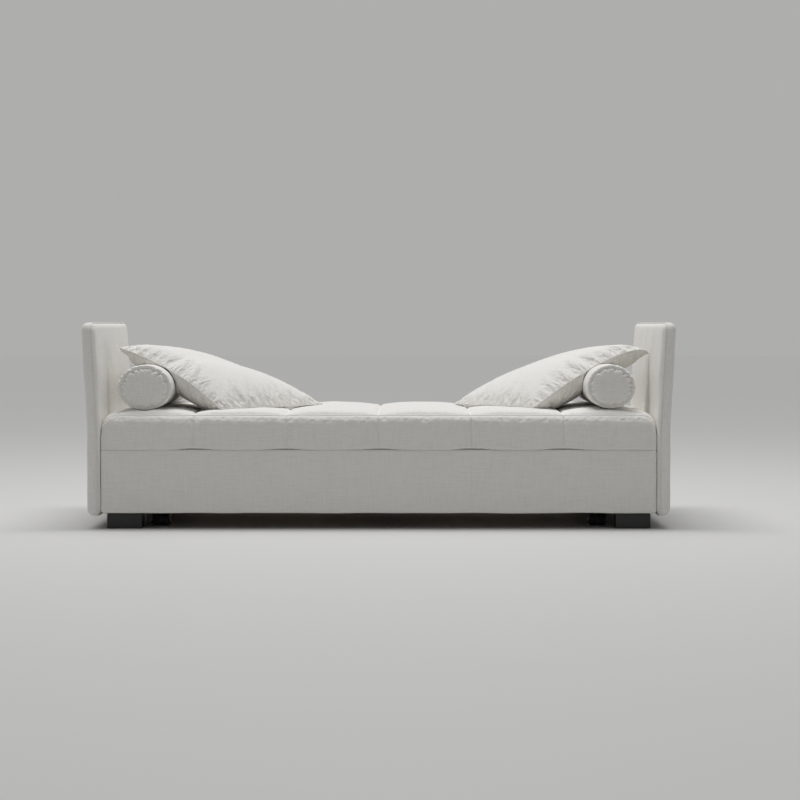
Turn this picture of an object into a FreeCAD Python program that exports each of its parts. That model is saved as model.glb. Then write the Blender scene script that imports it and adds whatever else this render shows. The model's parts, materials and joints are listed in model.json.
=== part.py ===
import FreeCAD, Part
import math
import os
from FreeCAD import Vector

# A daybed with a second bed on rollers under it. Two padded end panels carry a slatted upper bed.
# The lower bed pulls out to the front (-Y) with the long upholstered front panel.
# Frame: +Z up, +X along the length, -Y to the front, origin on the floor under the middle.
# All sizes are in millimetres.

# Upper mattress
MATTRESS_LENGTH = 2000.0
MATTRESS_DEPTH = 870.0
MATTRESS_UNDERSIDE = 290.0
MATTRESS_SIDE_HEIGHT = 118.0
MATTRESS_CROWN = 25.0
MATTRESS_TOP_ARC = 4.0
MATTRESS_SHOULDER = 52.0
MATTRESS_SHOULDER_BULGE = 3.0
MATTRESS_SIDE_BULGE = 6.0
MATTRESS_SEGMENTS = 6
CHANNEL_DROP = 13.0
CHANNEL_DRAW_IN = 4.0
MATTRESS_END_ROUND = 54.0
MATTRESS_COVER = 22.0

# End panels
END_CLEARANCE = 3.0
END_THICKNESS = 42.0
END_TOP = 745.0
END_GROUND_GAP = 46.0
END_OVERHANG = 15.0
END_LEAN_START = 330.0
END_LEAN_DEGREES = 3.0
END_LEAN_RADIUS = 1500.0
END_CORNER_RADIUS = 26.0
END_EDGE_RADIUS = 15.0
END_CORE = 18.0
COVER_CLOTH = 1.5
LAYER_GAP = 0.3

# Long panels, front and back
PANEL_PROUD = 5.0
PANEL_CORE = 18.0
PANEL_PADDING = 8.0
PANEL_EDGE_ROUND = 6.0
PANEL_END_GAP = 1.5
PANEL_TOP_GAP = 3.0
PANEL_FOOT_GAP = 2.0

# Feet and the boards that stand on them
FOOT_HEIGHT = 54.0
FOOT_WIDTH = 125.0
FOOT_DEPTH = 125.0
FOOT_SET_BACK = 15.0
FOOT_INSET = 22.0
FOOT_CHAMFER = 1.5
FOOT_BOLT_BITE = 24.0
FOOT_PLATE = 4.0
SIDE_BOARD = 22.0
SIDE_BOARD_FRONT_GAP = 4.0
SIDE_BOARD_TOP_GAP = 4.0

# Slatted frame of the upper bed
RAIL_HEIGHT = 50.0
RAIL_WIDTH = 25.0
TUBE_WALL = 2.0
RAIL_PANEL_GAP = 12.0
RAIL_END_GAP = 1.5
RAIL_TUBE_INSET = 6.0
BRACKET_STEEL = 3.0
BRACKET_WIDTH = 70.0
BRACKET_REACH = 60.0

# Slats and their holders, alike on both beds
SLAT_COUNT = 14
SLAT_WIDTH = 68.0
SLAT_THICKNESS = 8.0
SLAT_SEAT = 5.0
SLAT_FIRST_INSET = 90.0
HOLDER_LENGTH = 34.0
HOLDER_WALL = 3.0
HOLDER_LIP = 2.0
SLAT_FIT = 0.2

# Trundle frame, its mattress and its travel
TRUNDLE_TUBE = 30.0
TRUNDLE_BOLT_CLEARANCE = 3.0
GUIDE_STRIP = 18.0
GUIDE_STRIP_LENGTH = 600.0
GUIDE_STRIP_HEIGHT = 20.0
GUIDE_CLEARANCE = 2.0
BUMPER_LENGTH = 14.0
BUMPER_RADIUS = 12.0
BUMPER_SPACING = 1200.0
BUMPER_GAP = 0.5
LOWER_MATTRESS_HEADROOM = 7.0
LOWER_MATTRESS_END_GAP = 8.0
LOWER_MATTRESS_FRONT_GAP = 4.0
LOWER_MATTRESS_ROUND = 18.0
LOWER_MATTRESS_COVER = 12.0
UPRIGHT_WIDTH = 40.0
UPRIGHT_STEEL = 5.0
UPRIGHT_TOP_CLEARANCE = 14.0
UPRIGHT_SPACING = 600.0
UPRIGHT_SCREW_DROP = 16.0
UPRIGHT_SCREW_PITCH = 36.0

# Rollers under the trundle
ROLLER_FOOT_GAP = 11.0
ROLLER_SET_BACK = 110.0
ROLLER_RADIUS = 22.0
ROLLER_WIDTH = 56.0
ROLLER_RIB = 4.0
ROLLER_RIB_DROP = 2.0
TYRE_THICKNESS = 5.0
TYRE_FIT = 0.05
AXLE_RADIUS = 4.0
AXLE_FIT = 0.05
AXLE_HEAD_RADIUS = 7.0
AXLE_HEAD = 3.0
FORK_PLATE = 4.0
FORK_PLATE_LENGTH = 90.0
FORK_PLATE_DEPTH = 80.0
FORK_CHEEK = 4.0
FORK_CHEEK_DEPTH = 36.0
FORK_SIDE_GAP = 1.5
FORK_GROUND_GAP = 8.0

# Bolts and screws
BOLT_RADIUS = 4.0
BOLT_HEAD_RADIUS = 8.0
BOLT_HEAD = 5.0
SCREW_RADIUS = 2.5
SCREW_HEAD_RADIUS = 4.5
SCREW_HEAD = 3.0
SCREW_BITE = 14.0
HOLE_FIT = 0.3
COVER_BOLT_CLEARANCE = 4.0
END_BOLT_INSET = 60.0
END_BOLT_RISE = 45.0
END_BOLT_BRACKET_GAP = 17.0
END_BOLT_BITE = 14.0
BACK_BOLT_RISE = 42.0
BACK_BOLT_DROP = 66.0
BACK_BOLT_BITE = 40.0

# Loose bolsters, each lying across an end of the upper bed
BOLSTER_LENGTH = 780.0
LEFT_BOLSTER_END_DISTANCE = 153.0
RIGHT_BOLSTER_END_DISTANCE = 160.0
BOLSTER_END_ROUND = 22.0
BOLSTER_REST_GAP = 0.3
LEFT_BOLSTER_WIDTH = 198.0
LEFT_BOLSTER_HEIGHT = 165.0
RIGHT_BOLSTER_WIDTH = 178.0
RIGHT_BOLSTER_HEIGHT = 160.0

# Loose pillows, each leaning over a bolster. Corners are measured from the end panel's inner face
# towards the middle of the bed, and across the bed from its centre line. High corners are measured up
# from the bolster's top, and low ones from the mattress's crown.
PILLOW_EDGE = 8.0
PILLOW_TOP_BULGE = 68.0
PILLOW_UNDER_BULGE = 42.0
PILLOW_FRONT_BOW = 26.0
PILLOW_BACK_BOW = 6.0
PILLOW_REST_GAP = 0.6
LEFT_PILLOW_CORNERS = {
    "high_front": (32.0, -180.0, 47.0),
    "low_front": (429.0, -370.0, 2.0),
    "low_back": (784.0, 0.0, 4.0),
    "high_back": (389.0, 200.0, -52.0),
}
RIGHT_PILLOW_CORNERS = {
    "high_front": (-8.0, -120.0, 36.0),
    "low_front": (435.0, -290.0, 2.0),
    "low_back": (717.0, 70.0, 4.0),
    "high_back": (342.0, 270.0, -32.0),
}

# How finely the soft forms are lofted
PILLOW_STATIONS = 7
ROUNDING_DEGREES = (0, 30, 60, 90)

# Heights and planes that follow from the sizes above
MATTRESS_HALF = MATTRESS_LENGTH / 2
MATTRESS_PIPING = MATTRESS_UNDERSIDE + MATTRESS_SIDE_HEIGHT
MATTRESS_TOP = MATTRESS_PIPING + MATTRESS_CROWN
END_INNER = MATTRESS_HALF + END_CLEARANCE
END_HALF_DEPTH = MATTRESS_DEPTH / 2 + END_OVERHANG
PANEL_FACE = MATTRESS_DEPTH / 2 + PANEL_PROUD
PANEL_INNER = PANEL_FACE - COVER_CLOTH - PANEL_PADDING - PANEL_CORE
PANEL_HALF = END_INNER - PANEL_END_GAP
PANEL_BOTTOM = FOOT_HEIGHT + PANEL_FOOT_GAP
PANEL_TOP = MATTRESS_UNDERSIDE - PANEL_TOP_GAP
SIDE_OUTER = END_INNER - LAYER_GAP
SIDE_INNER = SIDE_OUTER - SIDE_BOARD
SIDE_BOTTOM = FOOT_HEIGHT + FOOT_PLATE
SIDE_TOP = MATTRESS_UNDERSIDE - SIDE_BOARD_TOP_GAP
FOOT_OUTER = END_INNER - FOOT_INSET
FOOT_INNER = FOOT_OUTER - FOOT_WIDTH
FOOT_FRONT = PANEL_FACE - FOOT_SET_BACK
FOOT_BACK = FOOT_FRONT - FOOT_DEPTH
HOLDER_HEIGHT = SLAT_SEAT + SLAT_THICKNESS + SLAT_FIT + HOLDER_LIP
RAIL_TOP = MATTRESS_UNDERSIDE - HOLDER_HEIGHT
RAIL_BOTTOM = RAIL_TOP - RAIL_HEIGHT
RAIL_OUTER = PANEL_INNER - RAIL_PANEL_GAP
RAIL_INNER = RAIL_OUTER - RAIL_WIDTH
RAIL_HALF = SIDE_INNER - BRACKET_STEEL - RAIL_END_GAP
TRUNDLE_HALF = SIDE_INNER - GUIDE_STRIP - GUIDE_CLEARANCE
TRUNDLE_UNDERSIDE = SIDE_BOTTOM + BOLT_HEAD + TRUNDLE_BOLT_CLEARANCE
TRUNDLE_TOP = TRUNDLE_UNDERSIDE + TRUNDLE_TUBE
TRUNDLE_FRONT = -PANEL_INNER
TRUNDLE_BACK = PANEL_INNER - BUMPER_LENGTH - BUMPER_GAP
LOWER_MATTRESS_UNDERSIDE = TRUNDLE_TOP + HOLDER_HEIGHT
LOWER_MATTRESS_TOP = RAIL_BOTTOM - BRACKET_STEEL - LOWER_MATTRESS_HEADROOM
UPRIGHT_TOP = LOWER_MATTRESS_TOP - UPRIGHT_TOP_CLEARANCE
ROLLER_X = FOOT_INNER - ROLLER_FOOT_GAP - FORK_PLATE_LENGTH / 2


def box(low, high):
    """A box between two corners."""
    low = Vector(*low)
    size = Vector(*high) - low
    return Part.makeBox(size.x, size.y, size.z, low)


def rod(centre, along, radius, length):
    """A cylinder that starts at a point and runs along a direction."""
    return Part.makeCylinder(radius, length, Vector(*centre), Vector(*along))


def tube(low, high, axis):
    """A square-cornered steel tube that is open at both ends along its axis."""
    inner_low = [v if i == axis else v + TUBE_WALL for i, v in enumerate(low)]
    inner_high = [v if i == axis else v - TUBE_WALL for i, v in enumerate(high)]
    return box(low, high).cut(box(inner_low, inner_high))


def across(shape):
    """The same shape on the other side of the middle plane, left for right."""
    return shape.mirror(Vector(0, 0, 0), Vector(1, 0, 0))


def on_side(side, shape):
    """A shape that is drawn on the right (+X), on the side asked for."""
    return shape if side == "right" else across(shape)


def cut_all(shape, tools):
    """A shape with a list of others taken out of it."""
    return shape.cut(Part.Compound(tools)) if tools else shape


def fastener(seat, along, radius, length, head_radius, head):
    """A bolt or screw: its head sits on a face, and its shank runs along a direction."""
    along = Vector(*along)
    shank = Part.makeCylinder(radius, length, Vector(*seat), along)
    cap = Part.makeCylinder(head_radius, head, Vector(*seat) - along * head, along)
    return shank.fuse(cap).removeSplitter()


def bolt(seat, along, length):
    return fastener(seat, along, BOLT_RADIUS, length, BOLT_HEAD_RADIUS, BOLT_HEAD)


def screw(seat, along, length):
    return fastener(seat, along, SCREW_RADIUS, length, SCREW_HEAD_RADIUS, SCREW_HEAD)


def three_point_arc(start, middle, end):
    return Part.Arc(Vector(*start), Vector(*middle), Vector(*end)).toShape()


def line(start, end):
    return Part.LineSegment(Vector(*start), Vector(*end)).toShape()


def loft(wires):
    """A closed solid that passes smoothly through a row of outlines."""
    return Part.makeLoft(wires, True)


# End panels: a bent plywood core in foam, under a loose cloth cover

def end_slab(inset):
    """The right end panel's outer form, taken in on every side by an inset."""
    inner = END_INNER + inset
    outer = END_INNER + END_THICKNESS - inset
    bottom = END_GROUND_GAP + inset
    top = END_TOP - inset
    lean = math.radians(END_LEAN_DEGREES)
    bend_x = END_INNER + END_LEAN_RADIUS

    def bent_edge(x):
        """Corner points of one face: foot, start of the bend, middle and end of it, and top."""
        radius = bend_x - x
        points = [(x, bottom), (x, END_LEAN_START)]
        for angle in (lean / 2, lean):
            points.append((bend_x - radius * math.cos(angle), END_LEAN_START + radius * math.sin(angle)))
        end_x, end_z = points[-1]
        points.append((end_x + (top - end_z) * math.tan(lean), top))
        return [(x, -END_HALF_DEPTH + inset, z) for x, z in points]

    near, far = bent_edge(inner), bent_edge(outer)
    profile = Part.Wire([
        line(near[0], near[1]),
        three_point_arc(near[1], near[2], near[3]),
        line(near[3], near[4]),
        line(near[4], far[4]),
        line(far[4], far[3]),
        three_point_arc(far[3], far[2], far[1]),
        line(far[1], far[0]),
        line(far[0], near[0]),
    ])
    depth = 2 * (END_HALF_DEPTH - inset)
    return Part.Face(profile).extrude(Vector(0, depth, 0))


def runs_across(edge):
    """Whether an edge of an end slab joins its inner and outer face, at an outline corner."""
    span = edge.Vertexes[-1].Point - edge.Vertexes[0].Point
    return abs(span.x) > abs(span.y) + abs(span.z)


def rounded_end_slab(inset):
    """The end panel's form with its outline corners and then its long edges rounded."""
    slab = end_slab(inset)
    corners = [e for e in slab.Edges if runs_across(e)]
    slab = slab.makeFillet(END_CORNER_RADIUS - inset, corners)
    rims = [e for e in slab.Edges if is_rim(e, inset)]
    return slab.makeFillet(END_EDGE_RADIUS - inset, rims)


def is_rim(edge, inset):
    """Whether an edge lies on the outline of the inner or the outer face of an end slab."""
    middle = edge.valueAt((edge.FirstParameter + edge.LastParameter) / 2)
    at_side = abs(abs(middle.y) - (END_HALF_DEPTH - inset)) < END_CORNER_RADIUS
    at_top = middle.z > END_TOP - END_CORNER_RADIUS
    at_bottom = middle.z < END_GROUND_GAP + END_CORNER_RADIUS
    return (at_side or at_top or at_bottom) and not runs_across(edge)


def end_bolt_places():
    """Four bolts near the ends of a side board, above the foot plates and below the brackets."""
    y = PANEL_INNER - END_BOLT_INSET
    low = SIDE_BOTTOM + END_BOLT_RISE
    high = RAIL_BOTTOM - BRACKET_STEEL - END_BOLT_BRACKET_GAP
    return [(-y, low), (-y, high), (y, low), (y, high)]


def bolt_holes_along_x(radius, start, length):
    return [rod((start, y, z), (1, 0, 0), radius, length) for y, z in end_bolt_places()]


def end_panels():
    """Both end panels: covers, foam and cores, with the bolts that hold them to the side boards."""
    padding_inset = COVER_CLOTH + LAYER_GAP
    core_inset = (END_THICKNESS - END_CORE) / 2
    outer = rounded_end_slab(0.0)
    lining = rounded_end_slab(COVER_CLOTH)
    foam = rounded_end_slab(padding_inset)
    core = end_slab(core_inset)
    clear = BOLT_RADIUS + COVER_BOLT_CLEARANCE
    through = bolt_holes_along_x(clear, END_INNER, core_inset)
    core_holes = bolt_holes_along_x(BOLT_RADIUS + HOLE_FIT, END_INNER + core_inset, END_CORE)
    shapes = {
        "end_cover": cut_all(outer.cut(lining), through),
        "end_padding": cut_all(foam.cut(core), through),
        "end_core": cut_all(core, core_holes),
    }
    for side in ("left", "right"):
        for name, shape in shapes.items():
            write(f"{side}_{name}", on_side(side, shape))
    length = END_INNER + core_inset + END_BOLT_BITE - SIDE_INNER
    bolts = [bolt((SIDE_INNER, y, z), (1, 0, 0), length) for y, z in end_bolt_places()]
    write("end_panel_bolts", bolts + [across(b) for b in bolts])


# Side boards, feet and the plates between them

def foot_centres():
    """The four feet by name, with the middle of each on the floor."""
    x = (FOOT_OUTER + FOOT_INNER) / 2
    y = (FOOT_FRONT + FOOT_BACK) / 2
    return [("front_left", -x, -y), ("front_right", x, -y), ("rear_left", -x, y), ("rear_right", x, y)]


def plate_screw_x():
    """Across from the foot, under the middle of the side board."""
    return (SIDE_OUTER + SIDE_INNER) / 2


def plate_span():
    """Inner and outer edge of a foot plate across the bed, behind the long panel."""
    return FOOT_BACK, PANEL_INNER - SIDE_BOARD_FRONT_GAP


def plate_screw_places(y_sign):
    """Two screws along the side board, a quarter in from each edge of the plate."""
    back, front = plate_span()
    quarter = (front - back) / 4
    return [y_sign * (back + quarter), y_sign * (front - quarter)]


def feet():
    """Four block feet, with a steel plate on each that reaches out under the side board."""
    plates, bolts, screws = [], [], []
    back, front = plate_span()
    bolt_hole = BOLT_RADIUS + HOLE_FIT
    for name, x, y in foot_centres():
        x_sign = math.copysign(1, x)
        y_sign = math.copysign(1, y)
        half_x, half_y = FOOT_WIDTH / 2, FOOT_DEPTH / 2
        block = box((x - half_x, y - half_y, 0), (x + half_x, y + half_y, FOOT_HEIGHT))
        block = block.makeChamfer(FOOT_CHAMFER, [e for e in block.Edges if e.BoundBox.ZMin > 0])
        bolt_at = (x, y_sign * (back + front) / 2)
        hole_depth = FOOT_BOLT_BITE + BOLT_RADIUS
        block = block.cut(rod((*bolt_at, FOOT_HEIGHT - hole_depth), (0, 0, 1), bolt_hole, hole_depth))
        write(f"{name}_foot", block)
        plate_x = sorted((x_sign * (FOOT_INNER + FOOT_CHAMFER), x_sign * SIDE_OUTER))
        plate_y = sorted((y_sign * back, y_sign * front))
        plate = box((plate_x[0], plate_y[0], FOOT_HEIGHT), (plate_x[1], plate_y[1], SIDE_BOTTOM))
        holes = [rod((*bolt_at, FOOT_HEIGHT), (0, 0, 1), bolt_hole, FOOT_PLATE)]
        for screw_y in plate_screw_places(y_sign):
            seat = (x_sign * plate_screw_x(), screw_y, FOOT_HEIGHT)
            holes.append(rod(seat, (0, 0, 1), SCREW_RADIUS + HOLE_FIT, FOOT_PLATE))
            screws.append(screw(seat, (0, 0, 1), FOOT_PLATE + SCREW_BITE))
        plates.append(cut_all(plate, holes))
        bolts.append(bolt((*bolt_at, SIDE_BOTTOM), (0, 0, -1), FOOT_PLATE + FOOT_BOLT_BITE))
    write("foot_plates", plates)
    write("foot_bolts", bolts)
    write("foot_plate_screws", screws)


def back_bolt_heights():
    """Two bolts into the rear end of each side board."""
    return SIDE_BOTTOM + BACK_BOLT_RISE, SIDE_TOP - BACK_BOLT_DROP


def side_boards():
    """The boards that join end panels, feet, back panel and slatted frame at each end."""
    front = -PANEL_INNER + SIDE_BOARD_FRONT_GAP
    board = box((SIDE_INNER, front, SIDE_BOTTOM), (SIDE_OUTER, PANEL_INNER, SIDE_TOP))
    holes = bolt_holes_along_x(BOLT_RADIUS + HOLE_FIT, SIDE_INNER, SIDE_BOARD)
    screw_hole, screw_depth = SCREW_RADIUS + HOLE_FIT, SCREW_BITE + SCREW_RADIUS
    for y_sign in (-1, 1):
        for screw_y in plate_screw_places(y_sign):
            seat = (plate_screw_x(), screw_y, SIDE_BOTTOM)
            holes.append(rod(seat, (0, 0, 1), screw_hole, screw_depth))
        for place in bracket_screw_places(y_sign):
            holes.append(rod((SIDE_INNER, *place), (1, 0, 0), screw_hole, screw_depth))
    for z in back_bolt_heights():
        depth = BACK_BOLT_BITE + BOLT_RADIUS
        holes.append(rod((plate_screw_x(), PANEL_INNER, z), (0, -1, 0), BOLT_RADIUS + HOLE_FIT, depth))
    board = cut_all(board, holes)
    for side in ("left", "right"):
        write(f"{side}_side_board", on_side(side, board))


# Long panels: a board, a sheet of wadding on its face, and cloth wrapped round three sides

def long_panel():
    """Core, padding and cover of a long panel whose face looks to +Y."""
    low_z, high_z = PANEL_BOTTOM + COVER_CLOTH, PANEL_TOP - COVER_CLOTH
    half = PANEL_HALF - COVER_CLOTH
    core_face = PANEL_INNER + PANEL_CORE
    core = box((-half, PANEL_INNER, low_z), (half, core_face, high_z))
    padding = box((-half, core_face, low_z), (half, core_face + PANEL_PADDING, high_z))
    front_rim = [e for e in padding.Edges if e.BoundBox.YMin > core_face + PANEL_PADDING / 2]
    padding = padding.makeFillet(PANEL_EDGE_ROUND, front_rim)
    cover = box((-PANEL_HALF, PANEL_INNER, PANEL_BOTTOM), (PANEL_HALF, PANEL_FACE, PANEL_TOP))
    front_rim = [e for e in cover.Edges if e.BoundBox.YMin > PANEL_FACE - COVER_CLOTH / 2]
    cover = cover.makeFillet(PANEL_EDGE_ROUND + COVER_CLOTH, front_rim)
    return core, padding, cover.cut(core.fuse(padding))


def to_front(shape):
    """A shape that is drawn at the back, turned to face the front."""
    turned = shape.copy()
    turned.rotate(Vector(0, 0, 0), Vector(0, 0, 1), 180)
    return turned


def back_panel():
    """The fixed panel along the back, bolted to the ends of the side boards from its face."""
    core, padding, cover = long_panel()
    core_face = PANEL_INNER + PANEL_CORE
    bolts, holes = [], []
    places = [(x, z) for x in (-plate_screw_x(), plate_screw_x()) for z in back_bolt_heights()]
    for x, z in places:
        seat = (x, core_face - BOLT_HEAD, z)
        bolts.append(bolt(seat, (0, -1, 0), PANEL_CORE - BOLT_HEAD + BACK_BOLT_BITE))
        holes.append(rod((x, PANEL_INNER, z), (0, 1, 0), BOLT_RADIUS + HOLE_FIT, PANEL_CORE))
        holes.append(rod(seat, (0, 1, 0), BOLT_HEAD_RADIUS + HOLE_FIT, BOLT_HEAD))
    write("back_panel_core", cut_all(core, holes))
    write("back_panel_padding", padding)
    write("back_panel_cover", cover)
    write("back_panel_bolts", bolts)
    height = TRUNDLE_UNDERSIDE + TRUNDLE_TUBE / 2
    start = PANEL_INNER - BUMPER_LENGTH
    bumpers = [
        rod((x, start, height), (0, 1, 0), BUMPER_RADIUS, BUMPER_LENGTH)
        for x in (-BUMPER_SPACING / 2, BUMPER_SPACING / 2)
    ]
    write("rear_bumpers", bumpers)


# Slatted frame of the upper bed

def bracket_screw_places(y_sign):
    """Two screws beside the rail, one above the other, as (y, z)."""
    y = y_sign * (RAIL_INNER - (BRACKET_WIDTH - RAIL_WIDTH) / 2)
    third = RAIL_HEIGHT / 3
    return [(y, RAIL_BOTTOM + third), (y, RAIL_BOTTOM + 2 * third)]


def slat_xs(half_length):
    """Where the slats cross a frame of that half length, evenly spaced."""
    reach = half_length - SLAT_FIRST_INSET
    step = 2 * reach / (SLAT_COUNT - 1)
    return [-reach + step * i for i in range(SLAT_COUNT)]


def slats_and_holders(half_length, seat_z, front, back):
    """Slats across a frame and the capped holders at their ends, standing on the rails."""
    slats, holders = [], []
    slat_z = seat_z + SLAT_SEAT
    pocket_half = SLAT_WIDTH / 2 + SLAT_FIT
    pocket_top = slat_z + SLAT_THICKNESS + SLAT_FIT
    holder_half = pocket_half + HOLDER_WALL
    top = seat_z + HOLDER_HEIGHT
    slat_front, slat_back = front + HOLDER_WALL + SLAT_FIT, back - HOLDER_WALL - SLAT_FIT
    half, slat_top = SLAT_WIDTH / 2, slat_z + SLAT_THICKNESS
    for x in slat_xs(half_length):
        slats.append(box((x - half, slat_front, slat_z), (x + half, slat_back, slat_top)))
        for y0, y1, p0, p1 in (
            (front, front + HOLDER_LENGTH, front + HOLDER_WALL, front + HOLDER_LENGTH),
            (back - HOLDER_LENGTH, back, back - HOLDER_LENGTH, back - HOLDER_WALL),
        ):
            body = box((x - holder_half, y0, seat_z), (x + holder_half, y1, top))
            pocket = box((x - pocket_half, p0, slat_z), (x + pocket_half, p1, pocket_top))
            holders.append(body.cut(pocket))
    return slats, holders


def upper_slat_frame():
    """Two long steel rails joined by cross tubes, on brackets at the side boards."""
    for name, y_sign in (("front", -1), ("rear", 1)):
        y0, y1 = sorted((y_sign * RAIL_OUTER, y_sign * RAIL_INNER))
        write(f"slat_{name}_rail", tube((-RAIL_HALF, y0, RAIL_BOTTOM), (RAIL_HALF, y1, RAIL_TOP), 0))
    outer_tube = RAIL_HALF - RAIL_TUBE_INSET - RAIL_WIDTH / 2
    cross_tubes = [
        tube((x - RAIL_WIDTH / 2, -RAIL_INNER, RAIL_BOTTOM), (x + RAIL_WIDTH / 2, RAIL_INNER, RAIL_TOP), 1)
        for x in (-outer_tube, 0.0, outer_tube)
    ]
    write("slat_cross_tubes", cross_tubes)
    brackets, screws = [], []
    for y_sign in (-1, 1):
        y0, y1 = sorted((y_sign * RAIL_OUTER, y_sign * (RAIL_OUTER - BRACKET_WIDTH)))
        wall_x, shelf_x = SIDE_INNER - BRACKET_STEEL, SIDE_INNER - BRACKET_REACH
        shelf_z = RAIL_BOTTOM - BRACKET_STEEL
        wall = box((wall_x, y0, shelf_z), (SIDE_INNER, y1, RAIL_TOP))
        shelf = box((shelf_x, y0, shelf_z), (wall_x, y1, RAIL_BOTTOM))
        holes = []
        for y, z in bracket_screw_places(y_sign):
            seat = (wall_x, y, z)
            holes.append(rod(seat, (1, 0, 0), SCREW_RADIUS + HOLE_FIT, BRACKET_STEEL))
            screws.append(screw(seat, (1, 0, 0), BRACKET_STEEL + SCREW_BITE))
        brackets.append(cut_all(wall.fuse(shelf).removeSplitter(), holes))
    write("slat_frame_brackets", brackets + [across(b) for b in brackets])
    write("bracket_screws", screws + [across(s) for s in screws])
    slats, holders = slats_and_holders(RAIL_HALF, RAIL_TOP, -RAIL_OUTER, RAIL_OUTER)
    write("upper_slats", slats)
    write("upper_slat_holders", holders)


# Upper mattress: a quilted cover in crowned segments, round a foam core

def mattress_section(x, drop, draw_in, piping_drop):
    """Outline across the mattress at x: flat underside, bulged sides, shoulders and crown."""
    half = MATTRESS_DEPTH / 2 - draw_in
    low, piping = MATTRESS_UNDERSIDE, MATTRESS_PIPING - piping_drop
    top = MATTRESS_TOP - drop - piping_drop
    flat = half - MATTRESS_SHOULDER
    shoulder = top - MATTRESS_TOP_ARC
    rise = shoulder - piping
    swell = MATTRESS_SHOULDER_BULGE / math.hypot(MATTRESS_SHOULDER, rise)
    knee_y = (half + flat) / 2 + swell * rise
    knee_z = (piping + shoulder) / 2 + swell * MATTRESS_SHOULDER
    side_y = half + MATTRESS_SIDE_BULGE
    side_z = (low + piping) / 2
    return Part.Wire([
        line((x, -half, low), (x, half, low)),
        three_point_arc((x, half, low), (x, side_y, side_z), (x, half, piping)),
        three_point_arc((x, half, piping), (x, knee_y, knee_z), (x, flat, shoulder)),
        three_point_arc((x, flat, shoulder), (x, 0, top), (x, -flat, shoulder)),
        three_point_arc((x, -flat, shoulder), (x, -knee_y, knee_z), (x, -half, piping)),
        three_point_arc((x, -half, piping), (x, -side_y, side_z), (x, -half, low)),
    ])


def channel_section(x):
    """The section where the cover is sewn down, or where the top begins to round over an end."""
    return mattress_section(x, CHANNEL_DROP, CHANNEL_DRAW_IN, 0)


def mattress_form(lift=0.0):
    """The quilted mattress: a loft between each two sewn channels, and one over each rounded end."""
    pitch = MATTRESS_LENGTH / MATTRESS_SEGMENTS
    reach = MATTRESS_HALF - MATTRESS_END_ROUND
    pieces = [loft(end_sections(-1)), loft(end_sections(1))]
    for i in range(MATTRESS_SEGMENTS):
        start = max(-MATTRESS_HALF + i * pitch, -reach)
        end = min(-MATTRESS_HALF + (i + 1) * pitch, reach)
        swell = mattress_section((start + end) / 2, 0, 0, 0)
        pieces.append(loft([channel_section(start), swell, channel_section(end)]))
    form = pieces[0].multiFuse(pieces[1:])
    form.translate(Vector(0, 0, lift))
    return form


def end_sections(side):
    """Sections from the mattress's end inwards, as its top edge rounds over."""
    sections = []
    for degrees in ROUNDING_DEGREES:
        angle = math.radians(degrees)
        inward = MATTRESS_END_ROUND * (1 - math.cos(angle))
        fall = MATTRESS_END_ROUND * (1 - math.sin(angle))
        draw_in = CHANNEL_DRAW_IN * (2 - math.sin(angle))
        sections.append(mattress_section(side * (MATTRESS_HALF - inward), CHANNEL_DROP, draw_in, fall))
    return sections


def upper_mattress():
    """The quilted cover with a pocket in it, and the foam core that fills the pocket."""
    half = MATTRESS_HALF - MATTRESS_END_ROUND
    half_y = MATTRESS_DEPTH / 2 - MATTRESS_COVER
    low = MATTRESS_UNDERSIDE + MATTRESS_COVER
    high = MATTRESS_PIPING - MATTRESS_COVER / 2
    pocket = box((-half, -half_y, low), (half, half_y, high))
    gap = LAYER_GAP
    core = box((-half + gap, -half_y + gap, low), (half - gap, half_y - gap, high - gap))
    write("upper_mattress_cover", mattress_form().cut(pocket))
    write("upper_mattress_core", core)


# Trundle: a steel frame on rollers, its slats and mattress, and the front panel that hides it

def trundle_frame():
    """A rectangle of square tube with three bars across it, and the slats that lie on it."""
    low, high = TRUNDLE_UNDERSIDE, TRUNDLE_TOP
    width = TRUNDLE_TUBE
    front_in, back_in = TRUNDLE_FRONT + width, TRUNDLE_BACK - width
    write("trundle_front_rail", tube((-TRUNDLE_HALF, TRUNDLE_FRONT, low), (TRUNDLE_HALF, front_in, high), 0))
    write("trundle_rear_rail", tube((-TRUNDLE_HALF, back_in, low), (TRUNDLE_HALF, TRUNDLE_BACK, high), 0))

    def cross_bar(x):
        return tube((x - width / 2, front_in, low), (x + width / 2, back_in, high), 1)

    side_x = TRUNDLE_HALF - width / 2
    write("trundle_left_rail", cross_bar(-side_x))
    write("trundle_right_rail", cross_bar(side_x))
    bars = [cross_bar(0.0)]
    for x in (-ROLLER_X, ROLLER_X):
        holes = [rod((x, y, low), (0, 0, 1), SCREW_RADIUS + HOLE_FIT, TUBE_WALL) for y in roller_screw_ys()]
        bars.append(cut_all(cross_bar(x), holes))
    write("trundle_cross_bars", bars)
    slats, holders = slats_and_holders(TRUNDLE_HALF, high, lower_bed_front(), TRUNDLE_BACK)
    write("lower_slats", slats)
    write("lower_slat_holders", holders)


def lower_bed_front():
    """Where the lower slats may start, behind the panel's uprights and their screw heads."""
    return TRUNDLE_FRONT + UPRIGHT_STEEL + SCREW_HEAD


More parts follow.
